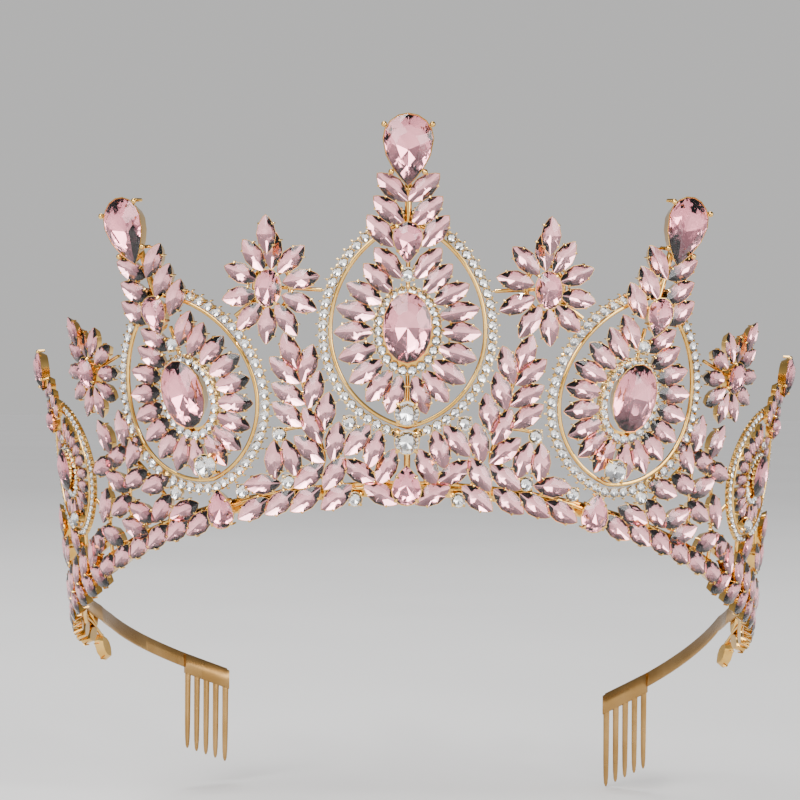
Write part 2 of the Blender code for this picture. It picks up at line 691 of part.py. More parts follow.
def build_base():
    """The band of metal along the lower edge, behind the leaf work, and the edge's three pear stones."""
    def low_edge(along):
        return edge_height(along) + RAIL_LIFT

    def high_edge(along):
        return edge_height(along) + RAIL_LIFT + RAIL_HEIGHT

    rail = ribbon(-RAIL_REACH, RAIL_REACH, RAIL_STEPS, low_edge, high_edge, RAIL_BACK, -GAP)
    add_node("base_band", [rail], GOLD)
    point_up = Matrix.Rotation(pi, 4, "Z")
    for name, frame in base_pear_frames().items():
        pear = moved(stone("base_pear", BASE_PEAR_SEAT_TOP), frame @ point_up)
        add_node("base_pear_" + name, [pear], PINK)


def band_height(along):
    """Height of the headband's middle; it hangs a little lower on the right."""
    hand = "right" if along > 0 else "left"
    free = max(abs(along), BAND_TURNS_DOWN)
    behind = abs(along) - free
    at_turn = BAND_HEIGHTS_AT_COMB[hand] + BAND_SLOPES[hand] * (free - COMB_START)
    return at_turn + BAND_SLOPE_BEHIND_LEAVES * behind


def build_comb(side):
    """A headband end with its comb: five teeth below a plate."""
    def low_edge(along):
        return band_height(along) - BAND_WIDTH / 2

    def high_edge(along):
        return band_height(along) + BAND_WIDTH / 2

    start, end = side * BAND_START, side * (COMB_END - BAND_SHORT_OF_PLATE)
    shapes = [ribbon(start, end, BAND_STEPS, low_edge, high_edge, 0.0, BAND_THICKNESS)]
    across = COMB_END - COMB_START
    outline = []
    for share, drop in ((0.0, 0.0), (1.0, 0.0), (1.0, COMB_PLATE_HEIGHT), (0.0, COMB_PLATE_HEIGHT)):
        along = side * (COMB_START + across * share)
        outline.append((along, high_edge(along) - COMB_PLATE_DROP - drop))
    shapes.append(plate(outline, -COMB_PLATE_HALF, COMB_PLATE_HALF))
    for i in range(TEETH):
        along = side * (COMB_START + TOOTH_WIDTH / 2 + (across - TOOTH_WIDTH) * i / (TEETH - 1))
        top = high_edge(along) - COMB_PLATE_HEIGHT
        tooth = []
        for half, drop in TOOTH_PROFILE:
            tooth.append((along + half * TOOTH_WIDTH, top - drop * MM))
            tooth.append((along - half * TOOTH_WIDTH, top - drop * MM))
        shapes.append(plate(tooth, -TOOTH_HALF, TOOTH_HALF))
    add_node("comb_" + ("right" if side > 0 else "left"), shapes, GOLD, bend=on_headband)


def main():
    for old in list(bpy.data.objects):
        bpy.data.objects.remove(old)

    def clearances(*names):
        return [hoop(motif, HOOP_CLEARANCE) for motif in MOTIFS if motif[0] in names]

    for motif in MOTIFS:
        build_motif(motif)
    for name, along, up, lean, size in FLOWERS:
        for side, hand in ((1, "right"), (-1, "left")):
            beside = ("centre", "mid_" + hand) if name == "inner" else ("mid_" + hand, "end_" + hand)
            build_flower(name, along, up, lean, size, side, clearances(*beside))
    build_leaf_work(clearances)
    build_base()
    for side in (1, -1):
        build_comb(side)


CROWN = bpy.data.collections.new("crown")
GUIDES = bpy.data.collections.new("guides")
bpy.context.scene.collection.children.link(CROWN)
bpy.context.scene.collection.children.link(GUIDES)
main()
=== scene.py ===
"""Looks of the gilt crown: cut crystals in claw settings, set on a leaning wall that bends round the head.

Everything is laid out flat, in mm: x along the wall from the middle of the front, y up the wall, z out of it.
Wires are then bent round the head point by point, and stones and settings are stood on the wall as rigid
pieces. Angles in the tables are in degrees.
"""
from math import atan2, cos, hypot, pi, radians, sin

import bmesh
import bpy
import numpy as np
from mathutils import Matrix, Vector


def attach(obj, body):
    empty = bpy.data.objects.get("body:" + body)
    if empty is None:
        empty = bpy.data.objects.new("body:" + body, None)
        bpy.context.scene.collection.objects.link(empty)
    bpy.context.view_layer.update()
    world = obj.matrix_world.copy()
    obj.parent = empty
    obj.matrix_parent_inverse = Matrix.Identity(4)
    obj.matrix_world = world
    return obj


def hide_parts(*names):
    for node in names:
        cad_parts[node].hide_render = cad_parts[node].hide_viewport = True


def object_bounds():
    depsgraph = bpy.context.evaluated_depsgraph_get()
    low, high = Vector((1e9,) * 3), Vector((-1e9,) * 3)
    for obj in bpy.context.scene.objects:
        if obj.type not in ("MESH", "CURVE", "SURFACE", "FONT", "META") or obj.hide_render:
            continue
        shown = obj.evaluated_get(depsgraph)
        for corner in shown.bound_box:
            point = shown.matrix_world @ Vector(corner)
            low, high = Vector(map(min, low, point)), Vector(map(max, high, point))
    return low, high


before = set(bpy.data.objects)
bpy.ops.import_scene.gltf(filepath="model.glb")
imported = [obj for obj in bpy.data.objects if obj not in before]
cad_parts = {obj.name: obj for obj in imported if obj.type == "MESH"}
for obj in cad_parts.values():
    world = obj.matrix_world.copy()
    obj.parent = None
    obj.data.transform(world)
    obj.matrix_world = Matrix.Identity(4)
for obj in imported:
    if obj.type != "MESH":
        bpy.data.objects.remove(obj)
CAD_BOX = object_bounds()
MM = 0.001

# The wall: its plan bends slowly in front, most at the temples, and it leans outward
FRONT_RADIUS = 122
SIDE_RADIUS = 55
TURN_LENGTH = 122
PLAN_STEP = 0.5
PLAN_REACH = 200
FLARE = 0.12
FRONT_TO_ORIGIN = 60
OVAL_ABOVE_ORIGIN = 36

# The lower edge: a parabola that runs on as a straight slope to the tails
EDGE_DROP = 36
EDGE_CURVE = 350
EDGE_STRAIGHT_FROM = 75
RAIL_REACH = 114
RAIL_SECTION = (1.0, 4.2, -1.5, -0.3, 0.3)  # low, high, back, front, corner
RAIL_STEPS = 150

# The medallion: a pointed hoop round a halo of petals
HOOP_HALF_WIDTH = 15.65
HOOP_UPPER_RADIUS = 24.2
HOOP_MIDDLE = -1.4
HOOP_STEPS = 28
HOOP_WIRE = 0.46
HOOP_WIRE_OUT = 1.9
HOOP_RAIL = 0.42
RIM_ROW_OUTWARD = 1.6
RIM_PITCH = 2.24
RIM_RAISED = 0.4
HALO_DOWN = 0.9
HALO_ROW = (6.0, 8.2)
HALO_PITCH = 2.05
HALO_SIDES = 48
HALO_RAISED = 0.8
HALO_PLATE = ((4.6, 6.6), (6.6, 8.9))
HALO_PLATE_TOP = 1.1
HALO_BEAD_UP = 10.6
HALO_BEAD_RAISED = 0.4
NECK = (7.4, 10.6, 14.5)
KEEL_FROM = -9.0
KEEL_SHORT_OF_TIP = 1.5
PETAL_AXES = (10.85, 12.8)
PETAL_BELOW = 3.9
PETAL_FIRST = 50
PETAL_STEP = 18
PETALS_A_SIDE = 8
PETAL_DRAWN_IN = 0.15
FIRST_PETAL = (3.9, 12.9, 48)
ROUND_ABOVE_TIP = 3.2

# The spire above a medallion
SPIRE_LEAVES = [
    # across, up, lean, from a motif's middle
    (5.3, 19.2, 50), (3.7, 23.3, 43), (3.0, 27.9, 42),
]
SPIRE_RAISED = 1.9
SPINE = (20.8, 26.0, 32.0)
SPINE_OUT = 2.5
SPINE_WIRE = 0.7
DROP_UP = 17.2
TOP_PEAR_UP = 35.6

# A flower head, and the pears on the lower edge
FLOWER_AXES = (7.0, 8.1)
FLOWER_PETALS = 10
FLOWER_COLLAR = (8.2, 10.2)
COLLAR_SIDES = 20
CREST = (1.2, 11.3, 84)
CREST_RAISED = 1.4
BASE_PEAR_OUT = -1.35
BASE_PEARS = [
    # name, along, up, lean
    ("centre", 0.0, -32.0, 0.0), ("right", 40.3, -37.6, 6.0), ("left", -40.3, -37.6, -6.0),
]

# The headband and its combs
BAND_WIDTH = 3.7
BAND_THICKNESS = 0.8
BAND_START = 118
BAND_TURNS_DOWN = 143
BAND_LEAVES_WALL = 134
COMB_START = 176
COMB_END = 188.6
BAND_SLOPES = {"right": -0.52, "left": -0.38}
BAND_HEIGHTS_AT_COMB = {"right": -85.8, "left": -82.2}
BAND_SLOPE_BEHIND_LEAVES = -0.3
BAND_BEHIND_WALL = -1.0
BAND_STEPS = 90
BAND_CORNER = 0.22
BAND_SHORT_OF_PLATE = 0.4
COMB_INSET = -1.2
COMB_PLATE_HEIGHT = 4.9
COMB_PLATE_HALF = 0.5
COMB_PLATE_DROP = 0.3
COMB_PLATE_CORNER = 0.2
COMB_PLATE_STEPS = 12
TEETH = 5
TOOTH_WIDTH = 1.8
TOOTH_SIDES = 10
TOOTH_PROFILE = [
    # distance below the plate, width, thickness
    (-1.0, 1.8, 0.8), (3.0, 1.7, 0.8), (12.0, 1.6, 0.76),
    (16.5, 1.4, 0.7), (18.4, 1.05, 0.6), (19.2, 0.45, 0.3),
]

# Motifs, in mm and degrees: place along the wall, height, lean, size, depth of the hoop below its middle
MOTIFS = [
    # name, along, up, lean, size, hoop_depth
    ("centre", 0.0, 0.0, 0.0, 1.0, 20.6),
    ("mid_left", -47.6, -13.9, -16.8, 1.0, 18.8),
    ("mid_right", 47.6, -13.9, 12.6, 1.0, 18.8),
    ("end_left", -92.5, -31.0, -21.5, 0.67, 20.6),
    ("end_right", 92.5, -31.0, 21.5, 0.67, 20.6),
]

# Flower heads on the right of the crown, mirrored to the left
FLOWERS = [
    # name, along, up, lean, size
    ("inner", 28.0, 7.9, -6.0, 0.95),
    ("outer", 76.0, -9.5, 18.0, 0.85),
]
FLOWER_LINKS = [(-11.0, 0.5), (8.0, -7.0)]  # where a flower's two stems end

# Leaves on one side, in mm and degrees; lean is counted from the way along the wall
CENTRE_LEAVES = [
    # along, up, lean
    (10.3, -23.2, 130), (6.8, -25.0, 107), (9.9, -29.7, 35), (4.2, -28.6, 116),
    (5.5, -34.2, 30), (14.9, -23.5, 102), (15.2, -30.1, 123), (14.8, -35.0, 141),
]
CENTRE_BEADS = [(11.9, -19.6), (10.9, -35.4)]
CENTRE_LARGE_BEAD = (-23.4, 0.5, 1.65)  # up, out, size
CENTRE_POST = [(0.0, -24.0), (0.0, -28.0), (0.0, -33.0)]
CENTRE_POST_WIRE = 0.7
CENTRE_STEMS = [
    [(0.0, -33.2), (6.5, -33.2), (13.2, -33.2), (14.6, -27.5), (14.8, -21.0)],
    [(9.0, -33.0), (8.4, -27.0), (11.6, -20.5)],
]
SPRAY_LEAVES = [
    (20.5, -7.6, 108), (24.0, -5.2, 70), (25.3, -9.0, 40), (19.3, -12.9, 108), (24.6, -13.8, 30),
    (16.9, -17.4, 102), (24.8, -18.0, 35), (19.7, -20.3, 64), (20.4, -25.2, 40), (24.4, -27.1, 72),
    (28.1, -27.6, 91), (20.7, -30.7, 142), (31.0, -32.6, 176), (21.5, -35.6, 142), (27.2, -36.4, 143),
    (33.2, -37.8, 148),
]
SPRAY_BEADS = [(26.9, -22.2), (25.2, -32.0), (35.6, -34.2)]
SPRAY_STEMS = [
    [(23.4, -5.0), (20.9, -15.8), (19.2, -21.5), (17.6, -27.6), (20.4, -31.6), (24.4, -33.6)],
    [(19.4, -33.3), (24.4, -33.7), (30.0, -35.0), (35.5, -36.4), (40.6, -38.2)],
    [(19.6, -20.6), (27.4, -22.2), (28.1, -30.0), (29.5, -34.8)],
]
SIDE_LEAVES = [
    (46.4, -41.2, 142), (52.2, -42.5, 140), (58.0, -44.5, 141), (63.9, -46.8, 143), (69.8, -49.2, 144),
    (75.8, -51.6, 147), (50.2, -38.6, 156), (56.2, -38.4, 132), (62.2, -39.4, 25),
    (68.6, -38.2, 150), (64.6, -42.9, 20), (72.8, -44.9, 22), (57.6, -33.2, 160), (63.4, -32.2, 155),
    (69.4, -33.0, 28), (63.4, -26.6, 120), (68.9, -27.6, 150), (74.0, -29.8, 160), (66.4, -21.6, 80),
    (72.6, -23.4, 62), (74.6, -38.4, 110), (78.6, -46.6, 130),
]
SIDE_STEMS = [
    [(43.0, -39.4), (50.0, -41.2), (58.0, -43.8), (66.0, -46.8), (74.0, -50.0), (78.0, -51.6)],
    [(66.4, -46.8), (67.2, -39.5), (66.8, -32.5), (66.8, -22.5)],
    [(55.4, -42.6), (55.4, -37.0), (60.4, -31.5), (66.6, -26.5)],
    [(75.6, -50.4), (75.6, -44.0), (74.4, -36.0), (72.2, -24.0)],
    [(75.0, -41.0), (81.8, -36.9)],
]
SIDE_BEADS = [(52.2, -35.0)]
TAIL_LEAVES = [
    (91.4, -47.4, 50), (100.7, -49.8, 125), (105.6, -50.0, 62), (105.4, -43.4, 74), (137.2, -75.2, 125),
]
TAIL_STEMS = [
    [(90.0, -55.6), (88.6, -50.0), (88.3, -45.0)],
    [(104.6, -60.8), (103.4, -52.0), (101.6, -40.0)],
    [(103.6, -50.0), (104.8, -46.0)],
]
TAIL_VINE = [
    (82.6, -52.4), (90.0, -55.6), (98.0, -58.6), (106.0, -61.2), (114.0, -63.8), (122.0, -66.4),
    (130.0, -69.2), (136.4, -73.2),
]
TAIL_PAIRS = 9
TAIL_FIRST_PAIR = 1.0
TAIL_PAIR_STEP = 6.5
TAIL_SPREAD = 46
LEAF_OFF_VINE = 3.9
STEM_WIRE = 0.45

# Edges sharper than these angles stay sharp
SETTING_CREASE = 48
STRIP_CREASE = 50


# The wall's plan

def plan_table():
    """Heading and place of the wall's plan at even steps, summed from its curvature."""
    run = np.arange(0.0, PLAN_REACH + PLAN_STEP, PLAN_STEP)
    swell = np.sin(pi * run / (2 * TURN_LENGTH)) ** 2
    bend = 1 / FRONT_RADIUS + (1 / SIDE_RADIUS - 1 / FRONT_RADIUS) * swell
    heading = np.concatenate([[0.0], np.cumsum((bend[1:] + bend[:-1]) / 2) * PLAN_STEP])
    middle = (heading[1:] + heading[:-1]) / 2
    across = np.concatenate([[0.0], np.cumsum(np.cos(middle)) * PLAN_STEP])
    back = np.concatenate([[0.0], np.cumsum(np.sin(middle)) * PLAN_STEP])
    return run, heading, across, back


PLAN = plan_table()


def wall_lift(along, up):
    """How far the leaning wall stands outside its plan."""
    return FLARE * up


def headband_lift(along, up):
    """The headband: behind the leaf work at first, upright and flush with the plan at the comb."""
    share = np.clip((np.abs(along) - BAND_LEAVES_WALL) / (COMB_START - BAND_LEAVES_WALL), 0.0, 1.0)
    return (FLARE * up + BAND_BEHIND_WALL) * (1 - share) + COMB_INSET * share


def bent(points, lift=wall_lift):
    """Flat points in mm, bent round the head, in metres."""
    run, heading, across, back = PLAN
    along, up, out = points.T
    side = np.where(along < 0, -1.0, 1.0)
    turn = np.interp(np.abs(along), run, heading)
    reach = lift(along, up) + out
    x = side * (np.interp(np.abs(along), run, across) + np.sin(turn) * reach)
    y = np.interp(np.abs(along), run, back) - np.cos(turn) * reach - FRONT_TO_ORIGIN
    return np.stack([x, y, up + OVAL_ABOVE_ORIGIN], axis=1) * MM


def stood(points, seats):
    """Points of rigid pieces: each piece keeps its shape and takes the wall's directions at its seat."""
    run, heading = PLAN[:2]
    turn = np.interp(np.abs(seats[:, 0]), run, heading) * np.where(seats[:, 0] < 0, -1.0, 1.0)
    level = np.zeros_like(turn)
    along_way = np.stack([np.cos(turn), np.sin(turn), level], axis=1)
    outward = np.stack([np.sin(turn), -np.cos(turn), level], axis=1)
    upright = np.array([0.0, 0.0, 1.0])
    steep = hypot(1.0, FLARE)
    up_way = (outward * FLARE + upright) / steep
    out_way = (outward - upright * FLARE) / steep
    away = (points - seats) * MM
    return bent(seats) + away[:, :1] * along_way + away[:, 1:2] * up_way + away[:, 2:] * out_way


def edge_height(along):
    """Height of the crown's lower edge."""
    far = abs(along)
    near = min(far, EDGE_STRAIGHT_FROM)
    return -EDGE_DROP - near ** 2 / EDGE_CURVE - 2 * near / EDGE_CURVE * (far - near)


def band_height(along):
    """Height of the headband's middle; it hangs a little lower on the right."""
    hand = "right" if along > 0 else "left"
    free = max(abs(along), BAND_TURNS_DOWN)
    behind = abs(along) - free
    at_turn = BAND_HEIGHTS_AT_COMB[hand] + BAND_SLOPES[hand] * (free - COMB_START)
    return at_turn + BAND_SLOPE_BEHIND_LEAVES * behind


# Finishes

SMUDGE_RANGE = (0.38, 0.68)
PATCH_RANGE = (0.35, 0.65)
HAIRLINE_STRETCH = (1.0, 1.0, 0.12)
HAIRLINE_DEPTH = 0.02 * MM
METAL_PATCH = 120.0
GLASS_BEND = 1.52
# A Mix node's sockets for its two colours and their mixture
MIX_FIRST, MIX_SECOND, MIXED = 6, 7, 2


def node(tree, kind, links, **settings):
    """A node with settings; each named input is linked from an output or a node's first one, or set."""
    made = tree.nodes.new(kind)
    for label, value in settings.items():
        setattr(made, label, value)
    for label, source in links.items():
        if isinstance(source, bpy.types.Node):
            source = source.outputs[0]
        if isinstance(source, bpy.types.NodeSocket):
            tree.links.new(source, made.inputs[label])
        else:
            made.inputs[label].default_value = source
    return made


def group_tree(name, inputs, outputs):
    """An empty shader group with named sockets; each input is a name and its first value."""
    tree = bpy.data.node_groups.new(name, "ShaderNodeTree")
    for label, value in inputs:
        kind = "NodeSocketFloat" if isinstance(value, float) else "NodeSocketColor"
        socket = tree.interface.new_socket(label, in_out="INPUT", socket_type=kind)
        socket.default_value = value
    for label, kind in outputs:
        tree.interface.new_socket(label, in_out="OUTPUT", socket_type=kind)
    return tree, tree.nodes.new("NodeGroupInput"), tree.nodes.new("NodeGroupOutput")


def noise(tree, coordinates, size, detail):
    """The value of a noise texture on the given coordinates."""
    made = node(tree, "ShaderNodeTexNoise", {"Vector": coordinates, "Scale": size, "Detail": detail})
    return made.outputs["Fac"]


def ramp(tree, value, span, to_low, to_high):
    """A value spread from a span to another one and held inside it."""
    made = node(tree, "ShaderNodeMapRange", {
        "Value": value, "From Min": span[0], "From Max": span[1], "To Min": to_low, "To Max": to_high})
    return made.outputs["Result"]


def handled_surface():
    """Marks that handling leaves: smudges where the shine is duller, and fine hairlines as height."""
    tree, given, result = group_tree(
        "handled surface",
        [("Smudge size", 160.0), ("Hairline size", 2600.0), ("Shine", 0.15), ("Dull", 0.35)],
        [("Roughness", "NodeSocketFloat"), ("Hairlines", "NodeSocketFloat")])
    place = node(tree, "ShaderNodeTexCoord", {}).outputs["Object"]
    smudges = noise(tree, place, given.outputs["Smudge size"], 3.0)
    stretched = node(tree, "ShaderNodeMapping", {"Vector": place, "Scale": HAIRLINE_STRETCH})
    hairlines = noise(tree, stretched, given.outputs["Hairline size"], 2.0)
    dulled = ramp(tree, smudges, SMUDGE_RANGE, given.outputs["Shine"], given.outputs["Dull"])
    tree.links.new(dulled, result.inputs["Roughness"])
    tree.links.new(hairlines, result.inputs["Hairlines"])
    return tree


def two_tone():
    """A colour that drifts between a bright and a deep tone over the surface."""
    tree, given, result = group_tree(
        "two tone",
        [("Patch size", 90.0), ("Bright", (0.8, 0.6, 0.3, 1.0)), ("Deep", (0.5, 0.3, 0.1, 1.0))],
        [("Colour", "NodeSocketColor")])
    place = node(tree, "ShaderNodeTexCoord", {}).outputs["Object"]
    patches = noise(tree, place, given.outputs["Patch size"], 4.0)
    mix = node(tree, "ShaderNodeMix", {
        "Factor": ramp(tree, patches, PATCH_RANGE, 0.0, 1.0),
        MIX_FIRST: given.outputs["Bright"], MIX_SECOND: given.outputs["Deep"]}, data_type="RGBA")
    tree.links.new(mix.outputs[MIXED], result.inputs["Colour"])
    return tree


HANDLED = handled_surface()
TWO_TONE = two_tone()


def finish_material(name, bright, deep, patch_size, shine, dull, smudge_size, hairlines=None):
    """A material whose colour and shine change over the surface, and its shader.

    Hairlines are given as their size and their height.
    """
    made = bpy.data.materials.new(name)
    made.use_nodes = True
    tree = made.node_tree
    shader = tree.nodes["Principled BSDF"]
    colour = node(tree, "ShaderNodeGroup", {
        "Patch size": patch_size, "Bright": (*bright, 1.0), "Deep": (*deep, 1.0)}, node_tree=TWO_TONE)
    tree.links.new(colour.outputs["Colour"], shader.inputs["Base Color"])
    marks = node(tree, "ShaderNodeGroup", {
        "Smudge size": smudge_size, "Shine": shine, "Dull": dull}, node_tree=HANDLED)
    tree.links.new(marks.outputs["Roughness"], shader.inputs["Roughness"])
    if hairlines:
        size, height = hairlines
        marks.inputs["Hairline size"].default_value = size
        bump = node(tree, "ShaderNodeBump", {
            "Strength": height, "Distance": HAIRLINE_DEPTH, "Height": marks.outputs["Hairlines"]})
        tree.links.new(bump.outputs["Normal"], shader.inputs["Normal"])
    return made, shader


def metal(name, bright, deep, shine, dull, smudge_size=160.0, hairlines=None):
    """A metal that is bare or lies behind glass."""
    made, shader = finish_material(name, bright, deep, METAL_PATCH, shine, dull, smudge_size, hairlines)
    shader.inputs["Metallic"].default_value = 1.0
    return made


def crystal(name, bright, deep):
    """Cut glass with clean, sharp facets."""
    made, shader = finish_material(
        name, bright, deep, patch_size=60.0, shine=0.01, dull=0.05, smudge_size=240.0)
    shader.inputs["Transmission Weight"].default_value = 1.0
    shader.inputs["IOR"].default_value = GLASS_BEND
    return made


GOLD = metal("polished gilt", (0.87, 0.55, 0.17), (0.66, 0.37, 0.08), 0.08, 0.20, hairlines=(2600.0, 0.25))
# The band's gilt is satin (rougher), and its colour is darker than the polished gilt in part as painted
# shade: the darker tone stands in for the dark reflections the band shows
BAND_GILT_PAINTED_DARKER = metal("satin gilt", (0.45, 0.27, 0.10), (0.34, 0.19, 0.06), 0.20, 0.36, 90.0, (1500.0, 0.6))
PINK = crystal("pale pink crystal", (1.0, 0.54, 0.57), (0.98, 0.48, 0.52))
LARGE = crystal("large pink crystal", (1.0, 0.46, 0.52), (0.98, 0.40, 0.47))
CLEAR = crystal("clear crystal", (0.99, 0.99, 0.98), (0.96, 0.96, 0.97))
PINK_FOIL = metal("pink foil", (1.0, 0.93, 0.94), (0.94, 0.84, 0.86), 0.03, 0.08)
CLEAR_FOIL = metal("silver foil", (0.97, 0.96, 0.94), (0.88, 0.88, 0.88), 0.04, 0.10)

# What a piece is made of: the ending of its name, its materials, its material slot in the record
MAKES = {
    "stones": ([PINK, PINK_FOIL], "pink_crystal"),
    "large_stones": ([LARGE, PINK_FOIL], "large_crystal"),
    "clear_stones": ([CLEAR, CLEAR_FOIL], "clear_crystal"),
    "settings": ([GOLD], "gold"),
    "strip": ([BAND_GILT_PAINTED_DARKER], "band_gold"),
}


# Outlines of stones, in mm

PEAR_FLANK_SHARES = (0.34, 0.62, 0.84)
PEAR_FLANK_CURVE = 1.9
PEAR_ARC_STEPS = 8
LEAF_ARC_STEPS = 6


def oval_outline(wide, high, sides):
    """Points round an oval."""
    return [(wide / 2 * cos(2 * pi * i / sides), high / 2 * sin(2 * pi * i / sides)) for i in range(sides)]


def leaf_outline(length, width):
    """A pointed leaf of two arcs, tips along x."""
    radius = (length ** 2 + width ** 2) / (4 * width)
    upper = []
    for i in range(LEAF_ARC_STEPS):
        x = length / 2 * cos(pi * i / LEAF_ARC_STEPS)
        upper.append((x, max((radius ** 2 - x ** 2) ** 0.5 - radius + width / 2, 0.0)))
    return upper + [(-x, -y) for x, y in upper]


def pear_outline(wide, high):
    """A pear with its round end up and its point down, its middle at half height."""
    centre = high / 2 - wide / 2
    points = []
    for i in range(PEAR_ARC_STEPS + 1):
        angle = pi * i / PEAR_ARC_STEPS
        points.append((wide / 2 * cos(angle), centre + wide / 2 * sin(angle)))
    flank = []
    for share in PEAR_FLANK_SHARES:
        flank.append((wide / 2 * (1 - share ** PEAR_FLANK_CURVE), centre - share * (centre + high / 2)))
    left = [(-x, y) for x, y in flank]
    return points + left + [(0.0, -high / 2)] + flank[::-1]


def ring(outline, share, height, grow=0.0):
    """An outline scaled, grown and set at a height."""
    points = []
    for x, y in outline:
        far = hypot(x, y)
        points.append(Vector((x * (share + grow / far), y * (share + grow / far), height)))
    return points


# Small shapes

# Facets: shares of the outline, and shares of the depth below and of the height above the girdle
FOOT_SHARE = 0.04
LOWER_FACETS = (0.58, 0.52)
UPPER_FACETS = (0.05, 0.42)
GIRDLE_THICKNESS = 0.1
FLAT_WITHIN = 0.5
# Cups: shares of the outline at the mouth and at the floor, heights in mm, and where claws leave them
CUP_MOUTH_SHARE = 0.98
CUP_FLOOR_SHARE = 0.93
CUP_FLOOR = 0.3
CUP_BELOW_GIRDLE = 0.06
CLAW_LEAVES_CUP = 0.4
# Claws as places and, for the drops, the way they face
DROP_CLAWS = [(2.2, 3.2, 50), (-2.2, 3.2, 130), (1.9, -1.7, -25), (-1.9, -1.7, 205)]
TOP_PEAR_CLAWS = [(4.75, 5.0), (-4.75, 5.0), (3.3, -4.3), (-3.3, -4.3)]
TOP_PEAR_CLAW_SIZE = (3.4, 5.5, 0.9, 0.5, 6)  # root, girdle, thickness, reach, sides
TOP_PEAR_BALL = (1.02, 5.75, 0.62)  # share outward, height, radius


def bridge(shape, low, high):
    """Adds the faces between two closed loops."""
    for i in range(len(low)):
        j = (i + 1) % len(low)
        shape.faces.new((low[i], low[j], high[j], high[i]))


def lofted(shape, rings):
    """Adds a closed body through rings with the same number of points."""
    loops = [[shape.verts.new(point) for point in points] for points in rings]
    for low, high in zip(loops, loops[1:]):
        bridge(shape, low, high)
    shape.faces.new(loops[0][::-1])
    shape.faces.new(loops[-1])


def kept(shape, name):
    """The shape as a mesh with its faces pointing out."""
    bmesh.ops.recalc_face_normals(shape, faces=shape.faces)
    mesh = bpy.data.meshes.new(name)
    shape.to_mesh(mesh)
    shape.free()
    return mesh


def cut_stone(name, outline, foot, girdle, table, table_share):
    """A cut stone: the hull of its foot, its main facets below and above the girdle, and its table."""
    corners, mains = outline[::2], outline[1::2]
    low_share, low_drop = LOWER_FACETS
    high_share, high_rise = UPPER_FACETS
    edge = girdle - GIRDLE_THICKNESS
    rings = [
        ring(corners, FOOT_SHARE, foot),
        ring(corners, low_share, girdle - low_drop * (girdle - foot)),
        ring(outline, 1.0, edge),
        ring(outline, 1.0, girdle),
        ring(mains, (1.0 + table_share) / 2 + high_share, girdle + high_rise * (table - girdle)),
        ring(corners, table_share, table),
    ]
    shape = bmesh.new()
    for points in rings:
        for point in points:
            shape.verts.new(point)
    hull = bmesh.ops.convex_hull(shape, input=shape.verts)
    spare = [item for item in hull["geom_interior"] if isinstance(item, bmesh.types.BMVert)]
    bmesh.ops.delete(shape, geom=spare, context="VERTS")
    bmesh.ops.dissolve_limit(
        shape, angle_limit=radians(FLAT_WITHIN), verts=shape.verts, edges=shape.edges)
    mesh = kept(shape, name)
    foil = mesh.attributes.new("foil", "BOOLEAN", "FACE")
    for face, mark in zip(mesh.polygons, foil.data):
        mark.value = face.center.z < edge
    return mesh


def claw(shape, place, turn, root, girdle, thick, reach, sides):
    """A claw that climbs the cup at a place on its outline and bends in over the stone."""
    rings = []
    for outward, height, radius in (
            (0.30 * thick, root, 0.42 * thick),
            (0.36 * thick, girdle, 0.5 * thick),
            (-0.45 * reach, girdle + 0.75 * reach, 0.42 * thick),
            (-0.9 * reach, girdle + 0.8 * reach, 0.16 * thick)):
        middle = Vector((place[0] + outward * cos(turn), place[1] + outward * sin(turn), height))
        around = oval_outline(2 * radius, 2 * radius, sides)
        rings.append([middle + Vector((x, y, 0.0)) for x, y in around])
    lofted(shape, rings)


def setting(outline, foot_share, foot, girdle, wall, claws=(), thick=0.0, reach=0.0, sides=0):
    """A cup that holds a stone's lower half; each claw is a place on the outline and the way it faces."""
    shape = bmesh.new()
    rim = girdle - CUP_BELOW_GIRDLE
    lofted(shape, [
        ring(outline, foot_share, foot), ring(outline, 1.0, rim, wall),
        ring(outline, CUP_MOUTH_SHARE, rim), ring(outline, foot_share * CUP_FLOOR_SHARE, foot + CUP_FLOOR),
    ])
    for x, y, turn in claws:
        root = foot + CLAW_LEAVES_CUP * (girdle - foot)
        claw(shape, (x, y), radians(turn), root, girdle, thick, reach, sides)
    return shape


def add_ball_claws(shape):
    """The top pear's claws, each with a small ball on its outside."""
    outward, height, radius = TOP_PEAR_BALL
    for x, y in TOP_PEAR_CLAWS:
        middle = Matrix.Translation((x * outward, y * outward, height))
        bmesh.ops.create_icosphere(shape, subdivisions=2, radius=radius, matrix=middle)
        claw(shape, (x, y), atan2(y, x), *TOP_PEAR_CLAW_SIZE)


def claws_on_oval(wide, high, turns):
    """Claws on an oval's outline at those angles."""
    return [(wide / 2 * cos(radians(turn)), high / 2 * sin(radians(turn)), turn) for turn in turns]


